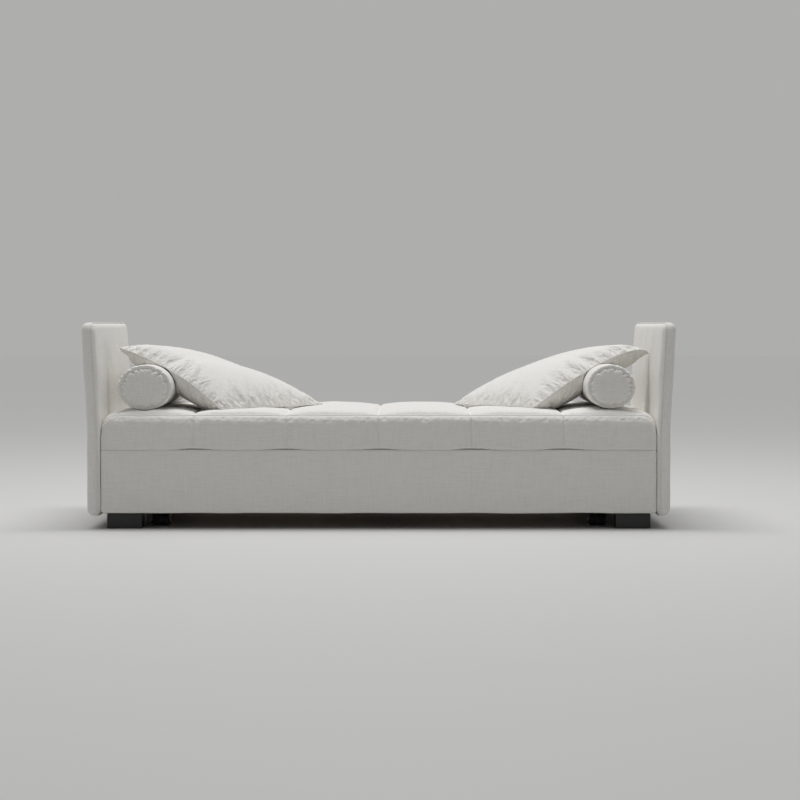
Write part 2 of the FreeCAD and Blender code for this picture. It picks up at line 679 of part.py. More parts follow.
def lower_mattress():
    """A plain mattress with rounded edges, as high as the space under the upper bed allows."""
    half = TRUNDLE_HALF - LOWER_MATTRESS_END_GAP
    front = lower_bed_front() + LOWER_MATTRESS_FRONT_GAP
    back = TRUNDLE_BACK
    low, high = LOWER_MATTRESS_UNDERSIDE, LOWER_MATTRESS_TOP
    form = box((-half, front, low), (half, back, high))
    upper_edges = [e for e in form.Edges if e.BoundBox.ZMax > (low + high) / 2]
    form = form.makeFillet(LOWER_MATTRESS_ROUND, upper_edges)
    wall = LOWER_MATTRESS_COVER
    pocket = box((-half + wall, front + wall, low + wall), (half - wall, back - wall, high - wall))
    gap = LAYER_GAP
    core = box(
        (-half + wall + gap, front + wall + gap, low + wall),
        (half - wall - gap, back - wall - gap, high - wall - gap),
    )
    write("lower_mattress_cover", form.cut(pocket))
    write("lower_mattress_core", core)


def upright_xs():
    """Three uprights along the front rail."""
    return -UPRIGHT_SPACING, 0.0, UPRIGHT_SPACING


def upright_screw_heights():
    """Two screws near the top of each upright."""
    high = UPRIGHT_TOP - UPRIGHT_SCREW_DROP
    return high - UPRIGHT_SCREW_PITCH, high


def front_panel():
    """The panel that pulls out with the trundle, screwed to uprights on its front rail."""
    core, padding, cover = (to_front(s) for s in long_panel())
    face = TRUNDLE_FRONT + UPRIGHT_STEEL
    hole = SCREW_RADIUS + HOLE_FIT
    half = UPRIGHT_WIDTH / 2
    uprights, screws, core_holes = [], [], []
    for x in upright_xs():
        bar = box((x - half, TRUNDLE_FRONT, TRUNDLE_TOP), (x + half, face, UPRIGHT_TOP))
        heights = upright_screw_heights()
        bar_holes = [rod((x, TRUNDLE_FRONT, z), (0, 1, 0), hole, UPRIGHT_STEEL) for z in heights]
        uprights.append(cut_all(bar, bar_holes))
        core_holes += [rod((x, TRUNDLE_FRONT, z), (0, -1, 0), hole, SCREW_BITE) for z in heights]
        length = UPRIGHT_STEEL + SCREW_BITE - SCREW_RADIUS
        screws += [screw((x, face, z), (0, -1, 0), length) for z in heights]
    write("front_panel_core", cut_all(core, core_holes))
    write("front_panel_padding", padding)
    write("front_panel_cover", cover)
    write("panel_uprights", uprights)
    write("panel_screws", screws)


def guide_strips():
    """Nylon strips on the side boards that keep the trundle straight as it rolls."""
    middle = TRUNDLE_UNDERSIDE + TRUNDLE_TUBE / 2
    strip = box(
        (SIDE_INNER - GUIDE_STRIP, -GUIDE_STRIP_LENGTH / 2, middle - GUIDE_STRIP_HEIGHT / 2),
        (SIDE_INNER, GUIDE_STRIP_LENGTH / 2, middle + GUIDE_STRIP_HEIGHT / 2),
    )
    write("guide_strips", [strip, across(strip)])


# Rollers

def roller_places():
    """The four rollers by name, under the outer cross bars."""
    front, back = TRUNDLE_FRONT + ROLLER_SET_BACK, TRUNDLE_BACK - ROLLER_SET_BACK
    return [
        ("front_left", -ROLLER_X, front),
        ("front_right", ROLLER_X, front),
        ("rear_left", -ROLLER_X, back),
        ("rear_right", ROLLER_X, back),
    ]


def fork_screw_ys(y):
    """Two screws in a fork plate, in front of and behind the roller."""
    reach = FORK_PLATE_DEPTH / 2 - 2 * SCREW_HEAD_RADIUS
    return y - reach, y + reach


def roller_screw_ys():
    """The screws along one cross bar, from its front and rear fork."""
    return [screw_y for name, x, y in roller_places() if x > 0 for screw_y in fork_screw_ys(y)]


def cheek_face():
    """Distance from the middle of a roller to the inside of its fork's cheek."""
    return ROLLER_WIDTH / 2 + FORK_SIDE_GAP


def fork(x, y):
    """An inverted U: a plate under the trundle's cross bar and two cheeks that hold the axle."""
    top = TRUNDLE_UNDERSIDE
    half_x, half_y = FORK_PLATE_LENGTH / 2, FORK_PLATE_DEPTH / 2
    shape = box((x - half_x, y - half_y, top - FORK_PLATE), (x + half_x, y + half_y, top))
    round_radius = FORK_CHEEK_DEPTH / 2
    for side in (-1, 1):
        x0, x1 = sorted((x + side * cheek_face(), x + side * (cheek_face() + FORK_CHEEK)))
        tip_z = FORK_GROUND_GAP + round_radius
        flat = box((x0, y - round_radius, tip_z), (x1, y + round_radius, top - FORK_PLATE))
        tip = rod((x0, y, tip_z), (1, 0, 0), round_radius, FORK_CHEEK)
        shape = shape.fuse(flat).fuse(tip)
    shape = shape.removeSplitter()
    axle_length = 2 * (cheek_face() + FORK_CHEEK)
    holes = [rod((x - axle_length / 2, y, ROLLER_RADIUS), (1, 0, 0), AXLE_RADIUS + AXLE_FIT, axle_length)]
    for screw_y in fork_screw_ys(y):
        holes.append(rod((x, screw_y, top - FORK_PLATE), (0, 0, 1), SCREW_RADIUS + HOLE_FIT, FORK_PLATE))
    return cut_all(shape, holes)


def axle(x, y):
    """A riveted axle with a head outside each cheek."""
    half = cheek_face() + FORK_CHEEK
    shape = rod((x - half, y, ROLLER_RADIUS), (1, 0, 0), AXLE_RADIUS, 2 * half)
    for side in (-1, 1):
        start = x + side * half
        shape = shape.fuse(rod((start, y, ROLLER_RADIUS), (side, 0, 0), AXLE_HEAD_RADIUS, AXLE_HEAD))
    return shape.removeSplitter()


def roller_core(x, y):
    """A nylon roller with a rib between its two tyres."""
    seat_radius = ROLLER_RADIUS - TYRE_THICKNESS
    start = (x - ROLLER_WIDTH / 2, y, ROLLER_RADIUS)
    barrel = rod(start, (1, 0, 0), seat_radius, ROLLER_WIDTH)
    rib_start = (x - ROLLER_RIB / 2, y, ROLLER_RADIUS)
    rib = rod(rib_start, (1, 0, 0), ROLLER_RADIUS - ROLLER_RIB_DROP, ROLLER_RIB)
    return barrel.fuse(rib).removeSplitter().cut(rod(start, (1, 0, 0), AXLE_RADIUS + AXLE_FIT, ROLLER_WIDTH))


def tyres(x, y):
    """Two rubber tyres, one each side of the roller's rib."""
    width = (ROLLER_WIDTH - ROLLER_RIB) / 2
    bore = ROLLER_RADIUS - TYRE_THICKNESS + TYRE_FIT
    rings = []
    for side in (-1, 1):
        start = (x + side * ROLLER_RIB / 2, y, ROLLER_RADIUS)
        ring = rod(start, (side, 0, 0), ROLLER_RADIUS, width)
        rings.append(ring.cut(rod(start, (side, 0, 0), bore, width)))
    return rings


def rollers():
    """Forks, axles, rollers, tyres and the screws that hold the forks to the cross bars."""
    places = roller_places()
    write("roller_forks", [fork(x, y) for name, x, y in places])
    write("roller_axles", [axle(x, y) for name, x, y in places])
    for name, x, y in places:
        write(f"{name}_roller", roller_core(x, y))
        write(f"{name}_tyres", tyres(x, y))
    seat_z = TRUNDLE_UNDERSIDE - FORK_PLATE
    length = FORK_PLATE + TUBE_WALL + SCREW_RADIUS
    screws = [
        screw((x, y, seat_z), (0, 0, 1), length)
        for x in (-ROLLER_X, ROLLER_X)
        for y in roller_screw_ys()
    ]
    write("roller_screws", screws)


# Loose bolsters and pillows

def oval(x, y, z, half_width, half_height):
    """A closed oval across Y, of four arcs."""
    slant = math.sqrt(0.5)
    ends = [(half_width, 0), (0, half_height), (-half_width, 0), (0, -half_height)]
    arcs = []
    for (u0, v0), (u1, v1) in zip(ends, ends[1:] + ends[:1]):
        middle = (slant * (u0 + u1), slant * (v0 + v1))
        points = [(x + u, y, z + v) for u, v in ((u0, v0), middle, (u1, v1))]
        arcs.append(three_point_arc(*points))
    return Part.Wire(arcs)


def bolster_form(side, z, grow=0.0):
    """A stuffed roll with rounded ends, lying across one end of the bed with its axis at a height."""
    width, height = bolster_size(side)
    x = bolster_x(side)
    half = BOLSTER_LENGTH / 2 + grow
    rounding = []
    for degrees in ROUNDING_DEGREES:
        angle = math.radians(degrees)
        inward = BOLSTER_END_ROUND * (1 - math.cos(angle))
        rounding.append((half - inward, BOLSTER_END_ROUND * (1 - math.sin(angle))))
    stations = [(-y, fall) for y, fall in rounding] + [(y, fall) for y, fall in reversed(rounding)]
    sections = [oval(x, y, z, width / 2 + grow - fall, height / 2 + grow - fall) for y, fall in stations]
    end_count = len(rounding)
    first_end, last_end = sections[:end_count], sections[end_count:]
    body = loft([first_end[-1], last_end[0]])
    return body.multiFuse([loft(first_end), loft(last_end)]).removeSplitter()


def bolster_axis_height(side, mattress):
    """The height at which a bolster lies a small gap above the mattress's crown."""
    z = MATTRESS_TOP + bolster_size(side)[1] / 2
    for _ in range(2):
        z += BOLSTER_REST_GAP - bolster_form(side, z).distToShape(mattress)[0]
    return z


def bolster_x(side):
    """Where a bolster's axis lies along the bed."""
    if side == "right":
        return END_INNER - RIGHT_BOLSTER_END_DISTANCE
    return LEFT_BOLSTER_END_DISTANCE - END_INNER


def bolster_size(side):
    """Width and height of a bolster as it lies, a little flattened."""
    if side == "right":
        return RIGHT_BOLSTER_WIDTH, RIGHT_BOLSTER_HEIGHT
    return LEFT_BOLSTER_WIDTH, LEFT_BOLSTER_HEIGHT


def pillow_form(side, bolster_z):
    """A pillow lofted from its high edge to its low edge, hollowed where it lies on the bolster."""
    corners = RIGHT_PILLOW_CORNERS if side == "right" else LEFT_PILLOW_CORNERS
    x_sign = 1 if side == "right" else -1

    def place(corner, base):
        inward, across_bed, up = corners[corner]
        return Vector(x_sign * (END_INNER - inward), across_bed, base + up)

    bolster_top = MATTRESS_TOP + bolster_size(side)[1]
    high_front, high_back = place("high_front", bolster_top), place("high_back", bolster_top)
    low_front, low_back = place("low_front", MATTRESS_TOP), place("low_back", MATTRESS_TOP)
    normal = (low_front - high_back).cross(low_back - high_front)
    normal = normal * (1 / normal.Length)
    if normal.z < 0:
        normal = normal * -1
    wires = []
    for station in range(PILLOW_STATIONS):
        share = station / (PILLOW_STATIONS - 1)
        rise = 4 * share * (1 - share)
        start = high_front + (low_front - high_front) * share + Vector(0, 0, PILLOW_FRONT_BOW * rise)
        end = high_back + (low_back - high_back) * share + Vector(0, 0, PILLOW_BACK_BOW * rise)
        swell = math.sqrt(rise)
        middle = (start + end) * 0.5
        top = middle + normal * (PILLOW_EDGE + (PILLOW_TOP_BULGE - PILLOW_EDGE) * swell)
        under = middle - normal * (PILLOW_EDGE + (PILLOW_UNDER_BULGE - PILLOW_EDGE) * swell)
        wires.append(Part.Wire([three_point_arc(start, top, end), three_point_arc(end, under, start)]))
    form = loft(wires)
    form = form.cut(bolster_form(side, bolster_z, PILLOW_REST_GAP))
    form = form.cut(mattress_form(PILLOW_REST_GAP))
    form = form.cut(on_side(side, end_slab(-PILLOW_REST_GAP)))
    return max(form.Solids, key=lambda solid: solid.Volume)


def loose_cushions():
    """Both bolsters, seated on the mattress, and the pillows over them."""
    mattress = mattress_form()
    for side in ("left", "right"):
        z = bolster_axis_height(side, mattress)
        write(f"{side}_bolster", bolster_form(side, z))
        write(f"{side}_pillow", pillow_form(side, z))


def write(name, shapes):
    """Checks one node's solids and writes them to its own file."""
    shapes = shapes if isinstance(shapes, list) else [shapes]
    solids = [solid for shape in shapes for solid in shape.Solids]
    for solid in solids:
        if not solid.isValid() or solid.Volume <= 0:
            raise ValueError(f"{name} has a bad solid")
    shape = solids[0] if len(solids) == 1 else Part.Compound(solids)
    shape.exportStep(os.path.join("parts", f"{name}.step"))


def main():
    os.makedirs("parts", exist_ok=True)
    end_panels()
    feet()
    side_boards()
    back_panel()
    upper_slat_frame()
    upper_mattress()
    trundle_frame()
    lower_mattress()
    front_panel()
    guide_strips()
    rollers()
    loose_cushions()


main()
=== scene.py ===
"""Dresses a linen daybed, whose lower bed rolls out to the front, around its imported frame."""

import json
import math

import bpy
import numpy as np
from bpy.props import FloatProperty, FloatVectorProperty, PointerProperty
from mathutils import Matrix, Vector


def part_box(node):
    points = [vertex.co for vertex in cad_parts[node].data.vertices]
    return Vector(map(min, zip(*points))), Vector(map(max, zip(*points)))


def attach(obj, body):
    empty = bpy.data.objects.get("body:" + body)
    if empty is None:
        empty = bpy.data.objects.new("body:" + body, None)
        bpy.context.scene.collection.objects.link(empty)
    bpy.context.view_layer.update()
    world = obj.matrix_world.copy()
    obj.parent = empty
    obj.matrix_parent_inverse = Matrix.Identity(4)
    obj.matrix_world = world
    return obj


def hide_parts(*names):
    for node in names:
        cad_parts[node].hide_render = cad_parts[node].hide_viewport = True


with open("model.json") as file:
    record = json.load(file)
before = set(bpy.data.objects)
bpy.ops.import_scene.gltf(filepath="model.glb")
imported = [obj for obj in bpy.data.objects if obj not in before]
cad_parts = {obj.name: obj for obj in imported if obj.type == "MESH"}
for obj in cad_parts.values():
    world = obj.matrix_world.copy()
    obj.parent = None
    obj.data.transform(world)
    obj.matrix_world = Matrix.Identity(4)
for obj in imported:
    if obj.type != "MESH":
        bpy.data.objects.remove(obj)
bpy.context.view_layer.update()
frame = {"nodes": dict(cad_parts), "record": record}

bl_info = {
    "name": "Linen daybed",
    "version": (1, 0, 0),
    "blender": (4, 5, 0),
    "location": "View3D > Sidebar > Daybed",
    "description": "Upholstery, cushions and finishes of a daybed with a bed on rollers under it",
    "category": "Add Mesh",
}

MM = 0.001

# End panels stand upright at their foot, and lean outwards from below the mattress's middle
LEAN_START = 330 * MM
LEAN_RADIUS = 1500 * MM
LEAN_ANGLE = math.radians(3.0)

# Foam swells their inner faces from the mattress's top upwards
CROWN_START = 430 * MM
CROWN_RUN = 120 * MM
CROWN_ROOM = 7 * MM

# The upper mattress is sewn across into six segments, and gathered along its piping
SEGMENTS = 6
HALF_DEPTH = 435 * MM
GATHER = 18 * MM
END_ROUND = 54 * MM
SHOULDER = 52 * MM
SIDE_HEIGHT = 118 * MM
TOP_ARC = 4 * MM

# Columns of quads kept along each side of its underside, which is plain between them
UNDERSIDE_RIM = 6

# How far each bolster sinks into the mattress, and the seed of the uneven folds along its end seams
BOLSTER_SINK = {"left": 8 * MM, "right": 2 * MM}
FOLD_SEED = {"left": 198, "right": 177}

# Pillows are sewn from sheets with so many points along a side, swell for so many frames and keep this gap
PILLOW_POINTS = 91
STUFFING_FRAMES = 20
PILLOW_GAP = 1.0 * MM

# How far each swells above its seam once stuffed, and how steeply it rises from its high edge and falls to
# its low one
PILLOW_CROWN = {"left": 65 * MM, "right": 57 * MM}
PILLOW_SLOPE = {"left": (0.50, 0.55), "right": (0.62, 0.62)}

# How far each pillow's front seam bows up over the bolster and how near to its high corner, and how far the
# pillow sags behind the bolster
PILLOW_BOW = {"left": 30 * MM, "right": 48 * MM}
BOW_PLACE = {"left": 1.1, "right": 0.66}
PILLOW_SAG = {"left": 12 * MM, "right": 5 * MM}

# Their corners are high at the front, low at the front, low at the back and high at the back
LEFT_PILLOW = (
    (-0.971, -0.180, 0.652), (-0.574, -0.370, 0.430), (-0.219, 0.000, 0.433), (-0.614, 0.200, 0.548),
)
RIGHT_PILLOW = (
    (1.008, -0.120, 0.628), (0.568, -0.290, 0.432), (0.286, 0.070, 0.433), (0.660, 0.270, 0.562),
)


def linear(hex_code):
    """An sRGB hex colour as the linear colour with alpha that a socket takes."""
    channels = [int(hex_code[i:i + 2], 16) / 255 for i in (0, 2, 4)]
    return [c / 12.92 if c <= 0.04045 else ((c + 0.055) / 1.055) ** 2.4 for c in channels] + [1.0]


def colour(name, description, hex_code):
    return FloatVectorProperty(
        name=name, description=description, default=linear(hex_code), size=4, subtype="COLOR", min=0, max=1
    )


def length(name, description, millimetres):
    return FloatProperty(
        name=name, description=description, default=millimetres * MM,
        unit="LENGTH", subtype="DISTANCE", min=0,
    )


class DaybedSizes(bpy.types.PropertyGroup):
    """Sizes of the sewing and stuffing"""

    piping: length("Mattress piping", "Radius of the piping round the mattress's top", 2.2)
    side_roll: length("Side roll", "How far the mattress's side rolls out below its piping", 19)
    end_welt: length("End panel welt", "Radius of each cord in the double welt along an end panel", 1.5)
    channel: length("Channel depth", "How far the mattress is drawn down where it is sewn across", 13)
    pucker: length("Puckers", "Height of the gathers beside the mattress piping", 9)
    pillow_under: length("Pillow belly", "How far a pillow may hang under its seam", 115)
    pillow_seam: length("Pillow seam", "Radius of the seam's ridge round a pillow", 1.9)
    bolster_dome: length("Bolster dome", "How far a bolster's end swells out past its seam", 8)
    pillow_crinkle: length("Pillow crinkles", "Height of the crinkles beside a pillow's seam", 3)
    bolster_pinch: length("Bolster pinches", "Depth of the gathers along a bolster's end seam", 13)
    hem_wave: length("Hem wave", "How far a long panel's hem waves", 2.2)


class DaybedColours(bpy.types.PropertyGroup):
    """Colours of the cloths and finishes"""

    linen: colour("Linen", "Washed off-white linen", "EFEDE8")
    linen_slub: colour("Linen slubs", "Thicker threads in the linen", "E8E5DF")
    ticking: colour("Ticking", "Cotton ticking on the lower mattress", "E6E4DE")
    birch: colour("Birch", "Pale bent slats", "CFAE7E")
    birch_grain: colour("Birch grain", "Darker grain in the slats", "B28E5D")
    plywood: colour("Plywood", "Board inside the panels", "BF9A6A")
    plywood_grain: colour("Plywood grain", "Darker grain in the board", "9C7748")
    lacquer: colour("Lacquer", "Black feet", "0F0F0F")
    powder_coat: colour("Powder coat", "Steel tubes and forks", "222324")
    zinc: colour("Zinc", "Bolts, screws and axles", "B4B8BC")
    nylon: colour("Nylon", "Slat holders, guides and rollers", "1D1E20")
    rubber: colour("Rubber", "Tyres and bumpers", "161616")
    floor: colour("Floor", "Plain floor round the daybed", "D6D5D2")


def sizes():
    return bpy.context.scene.daybed_sizes


def colours():
    return bpy.context.scene.daybed_colours


# Mesh work

def graded(low, high, band, fine, coarse):
    """Places from low to high, close together in a band at both ends and wider between."""
    ends = np.linspace(0, band, max(2, round(band / fine) + 1))
    middle = np.linspace(low + band, high - band, max(2, round((high - low - 2 * band) / coarse) + 1))
    return np.concatenate([low + ends, middle[1:-1], high - ends[::-1]])


def box_skin(nx, ny, nz):
    """Grid places (i, j, k) on the skin of a box of cells, and the quads between them."""
    i, j, k = np.meshgrid(np.arange(nx), np.arange(ny), np.arange(nz), indexing="ij")
    skin = (i == 0) | (i == nx - 1) | (j == 0) | (j == ny - 1) | (k == 0) | (k == nz - 1)
    number = np.full(skin.shape, -1)
    number[skin] = np.arange(skin.sum())
    sides = [
        (number[0], True), (number[-1], False), (number[:, 0], False),
        (number[:, -1], True), (number[:, :, 0], True), (number[:, :, -1], False),
    ]
    quads = np.concatenate([quads_of(plane, flip) for plane, flip in sides])
    return i[skin], j[skin], k[skin], quads


def quads_of(plane, flip):
    """Quads between the rows and columns of a sheet of vertex numbers."""
    a, b, c, d = plane[:-1, :-1], plane[1:, :-1], plane[1:, 1:], plane[:-1, 1:]
    order = (a, d, c, b) if flip else (a, b, c, d)
    return np.stack([corner.ravel() for corner in order], axis=1)


def slab_skin(half, layers, *spacings):
    """Places u, v and w on a slab's skin, the layer of each, and the quads between them. The spacings of v
    and w are the band at both ends, the step in it and the step between."""
    us = np.linspace(-half[0], half[0], layers)
    vs, ws = (graded(-reach, reach, *spacing) for reach, spacing in zip(half[1:], spacings))
    i, j, k, quads = box_skin(layers, len(vs), len(ws))
    return us[i], vs[j], ws[k], i, quads


def round_slab(u, v, w, half, corner, edge, both=True):
    """Rounds a slab whose thickness is u: the corners of its outline, then the edges of its faces."""
    half_u, half_v, half_w = half
    near_v = np.clip(v, corner - half_v, half_v - corner)
    near_w = np.clip(w, corner - half_w, half_w - corner)
    out_v, out_w = v - near_v, w - near_w
    reach = np.maximum(np.abs(out_v), np.abs(out_w))
    distance = np.hypot(out_v, out_w)
    scale = np.divide(1.0, distance, out=np.zeros_like(distance), where=distance > 0)
    along_face = np.clip(edge - (corner - reach), 0, edge)
    along_rim = np.clip(edge - (half_u - np.abs(u)), 0, edge)
    if not both:
        along_rim = np.where(u > 0, along_rim, 0)
    bend = (along_face > 0) & (along_rim > 0)
    span = np.where(bend, np.hypot(along_face, along_rim), 1)
    pull = np.where(bend, np.maximum(along_face, along_rim) / span, 1)
    reach = reach - along_face * (1 - pull)
    u = u - np.sign(u) * along_rim * (1 - pull)
    return u, near_v + out_v * scale * reach, near_w + out_w * scale * reach


def uneven(u, v, size):
    """A smooth uneven field from about -1 to 1, with hills about one size across."""
    total = np.zeros(np.broadcast(u, v).shape)
    for n in range(6):
        angle, stretch = 2.4 * n + 0.7, 0.7 + 0.19 * n
        along = u * math.cos(angle) + v * math.sin(angle)
        total += np.sin(2 * math.pi * stretch * along / size + 1.9 * n)
    return total / 2.6


def hill(distance, width):
    """1 at no distance, fading out round about the width."""
    return np.exp(-((distance / width) ** 2))


def gathers(u, spacing):
    """Uneven ridges along a sewn line, from 0 to 1."""
    turns = 2 * math.pi * u
    drift = 0.5 * np.sin(turns / (7.3 * spacing)) + 0.3 * np.sin(turns / (3.1 * spacing) + 1)
    return 0.5 + 0.5 * np.cos(2 * math.pi * (u / spacing + drift))


def only_used(count, *faces):
    """Which of the points the faces use, and the faces numbered anew without the rest."""
    used = np.unique(np.concatenate([face.ravel() for face in faces]))
    number = np.full(count, -1)
    number[used] = np.arange(len(used))
    return used, [number[face] for face in faces]


def link_new(name, data):
    """A new object in the scene."""
    thing = bpy.data.objects.new(name, data)
    bpy.context.scene.collection.objects.link(thing)
    return thing


def link_mesh(name, mesh, finish):
    """A smooth object with one finish."""
    mesh.shade_smooth()
    mesh.materials.clear()
    mesh.materials.append(finish)
    return link_new(name, mesh)


def new_piece(name, points, quads, finish):
    """A smooth piece made of quads."""
    mesh = bpy.data.meshes.new(name)
    mesh.from_pydata(np.asarray(points).tolist(), [], np.asarray(quads).tolist())
    return link_mesh(name, mesh, finish)


def closed_ends(name, points, quads, first, last, finish):
    """A tube of quads closed by one face at each end."""
    mesh = bpy.data.meshes.new(name)
    mesh.from_pydata(points.tolist(), [], quads.tolist() + [first.tolist(), last.tolist()])
    mesh.validate()
    return link_mesh(name, mesh, finish)


def cord_mesh(name, loops, radius, finish):
    """Round sewn cords that follow closed loops of points."""
    curve = bpy.data.curves.new(name, "CURVE")
    curve.dimensions = "3D"
    curve.bevel_depth = radius
    curve.bevel_resolution = 2
    for loop in loops:
        spline = curve.splines.new("POLY")
        spline.points.add(len(loop) - 1)
        spline.points.foreach_set("co", np.column_stack([loop, np.ones(len(loop))]).ravel())
        spline.use_cyclic_u = True
    drawn = bpy.data.objects.new(name, curve)
    mesh = bpy.data.meshes.new_from_object(drawn)
    bpy.data.objects.remove(drawn)
    bpy.data.curves.remove(curve)
    mesh.name = name
    return link_mesh(name, mesh, finish)


def bolster_box(side):
    """Centre and size of a bolster, sunk into the mattress."""
    low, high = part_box(f"{side}_bolster")
    return (low + high) / 2 - Vector((0, 0, BOLSTER_SINK[side])), high - low


def placed(piece, body, slot, *nodes):
    """Says that a piece rides on a body and stands for nodes, which it hides. The slot is not used."""
    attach(piece, body)
    if nodes:
        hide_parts(*nodes)


def stuff(points, quads, held, slack, pressure, cap):
    """Swells a sewn cover as cloth under pressure. Slack from 0 to 1 marks where the cloth is fuller
    than its seam, so that it crinkles there. No point moves further than the cap."""
    piece = new_piece("stuffing", points, quads, linen())
    for name, weights in (("held", held), ("snug", 1 - slack)):
        group = piece.vertex_groups.new(name=name)
        for index, weight in enumerate(weights):
            if weight > 0:
                group.add([index], float(weight), "REPLACE")
    cloth = piece.modifiers.new("Stuffing", "CLOTH")
    settings = cloth.settings
    settings.quality = 6
    settings.mass = 0.25
    settings.tension_stiffness = settings.compression_stiffness = 40
    settings.shear_stiffness = 10
    settings.bending_stiffness = 0.03
    settings.tension_damping = settings.compression_damping = settings.shear_damping = 5
    settings.vertex_group_mass = "held"
    settings.vertex_group_shrink = "snug"
    settings.shrink_min = -0.12
    settings.shrink_max = 0
    settings.use_pressure = True
    settings.uniform_pressure_force = pressure
    settings.effector_weights.gravity = 0
    cloth.collision_settings.use_collision = False
    scene = bpy.context.scene
    for number in range(1, STUFFING_FRAMES + 1):
        scene.frame_set(number)
    swollen = mesh_points(piece.evaluated_get(bpy.context.evaluated_depsgraph_get()))
    mesh = piece.data
    bpy.data.objects.remove(piece)
    bpy.data.meshes.remove(mesh)
    scene.frame_set(1)
    move = swollen - points
    distance = np.linalg.norm(move, axis=1, keepdims=True)
    return points + move * cap * np.tanh(distance / cap) / np.maximum(distance, 1e-9)


def two_sheets(count):
    """Vertex numbers of an upper and an under sheet that share their seam, and which are off the seam."""
    number = np.arange(count * count).reshape(count, count)
    inner = np.zeros(number.shape, bool)
    inner[1:-1, 1:-1] = True
    below = number.copy()
    below[inner] = number.size + np.arange(inner.sum())
    return number, below, inner


def both_sheets(top, under, inner):
    """Values for an upper sheet's points, then for the under sheet's off the seam."""
    return np.concatenate([top.reshape(-1, *top.shape[2:]), under[inner]])


def case_quads(number, below, faces_up):
    """Quads of an upper and an under sheet, all facing outwards."""
    return np.concatenate([quads_of(number, not faces_up), quads_of(below, faces_up)])


def finer(sheet):
    """A sheet of points with one more between each two, on a smooth curve through them."""
    for axis in (0, 1):
        rows = np.moveaxis(sheet, axis, 0)
        past = np.concatenate([2 * rows[:1] - rows[1:2], rows, 2 * rows[-1:] - rows[-2:-1]])
        full = np.empty((2 * len(rows) - 1, *rows.shape[1:]))
        full[::2] = rows
        full[1::2] = (9 * (past[1:-2] + past[2:-1]) - past[:-3] - past[3:]) / 16
        sheet = np.moveaxis(full, 0, axis)
    return sheet


def sheet_normals(sheet):
    """Directions square to a sheet of points."""
    normal = np.cross(np.gradient(sheet, axis=0), np.gradient(sheet, axis=1))
    return normal / np.maximum(np.linalg.norm(normal, axis=-1, keepdims=True), 1e-12)


def mesh_points(piece):
    flat = np.empty(3 * len(piece.data.vertices), np.float32)
    piece.data.vertices.foreach_get("co", flat)
    return flat.reshape(-1, 3).astype(float)


# Finishes

def feed(tree, node, inputs):
    """Gives a node a value or a link for each input named."""
    for name, value in inputs.items():
        if isinstance(value, bpy.types.NodeSocket):
            tree.links.new(value, node.inputs[name])
        else:
            node.inputs[name].default_value = value


def add_node(tree, kind, settings, inputs):
    """Adds a node with its settings, values and links."""
    node = tree.nodes.new(kind)
    for name, value in settings.items():
        setattr(node, name, value)
    feed(tree, node, inputs)
    return node


def new_finish(name, shader):
    """A material with its shader set, its node tree and a place vector in metres."""
    material = bpy.data.materials.get(name)
    if material:
        bpy.data.materials.remove(material)
    material = bpy.data.materials.new(name)
    material.use_nodes = True
    tree = material.node_tree
    surface = tree.nodes["Principled BSDF"]
    feed(tree, surface, shader)
    place = add_node(tree, "ShaderNodeTexCoord", {}, {}).outputs["Object"]
    return material, tree, surface, place


def linen_cloth():
    """Washed linen, plain woven from uneven yarn. It gives the eye a matte, slightly fuzzy off-white with
    short slubs both ways. Its threads are 0.8 mm apart, too fine to show, so they are drawn 4 mm apart."""
    thread, slub_run = 4 * MM, 70 * MM
    material, tree, surface, place = new_finish("Washed linen", {
        "Roughness": 0.88, "Specular IOR Level": 0.25, "Sheen Weight": 0.18, "Sheen Roughness": 0.45,
    })
    heights = []
    for axis in range(3):
        scale = [1 / thread] * 3
        scale[axis] = 1 / slub_run
        stretched = add_node(tree, "ShaderNodeMapping", {}, {"Vector": place, "Scale": scale})
        yarn = add_node(
            tree, "ShaderNodeTexNoise", {}, {"Vector": stretched.outputs[0], "Scale": 1.0, "Detail": 0.0}
        )
        heights.append(yarn.outputs["Fac"])
    pair = add_node(tree, "ShaderNodeMath", {"operation": "ADD"}, {0: heights[0], 1: heights[1]})
    weave = add_node(tree, "ShaderNodeMath", {"operation": "ADD"}, {0: pair.outputs[0], 1: heights[2]})
    tone = add_node(
        tree, "ShaderNodeMapRange", {}, {"Value": weave.outputs[0], "From Min": 1.1, "From Max": 1.7}
    )
    patch = add_node(
        tree, "ShaderNodeTexNoise", {}, {"Vector": place, "Scale": 1 / (180 * MM), "Detail": 3.0}
    )
    mixed = add_node(
        tree, "ShaderNodeMath", {"operation": "MULTIPLY_ADD"},
        {0: patch.outputs["Fac"], 1: 0.35, 2: tone.outputs[0]},
    )
    shade = add_node(
        tree, "ShaderNodeMix", {"data_type": "RGBA"},
        {"Factor": mixed.outputs[0], "A": colours().linen_slub, "B": colours().linen},
    )
    bump = add_node(
        tree, "ShaderNodeBump", {}, {"Height": weave.outputs[0], "Strength": 0.28, "Distance": 0.6 * MM}
    )
    feed(tree, surface, {"Base Color": shade.outputs["Result"], "Normal": bump.outputs[0]})
    return material


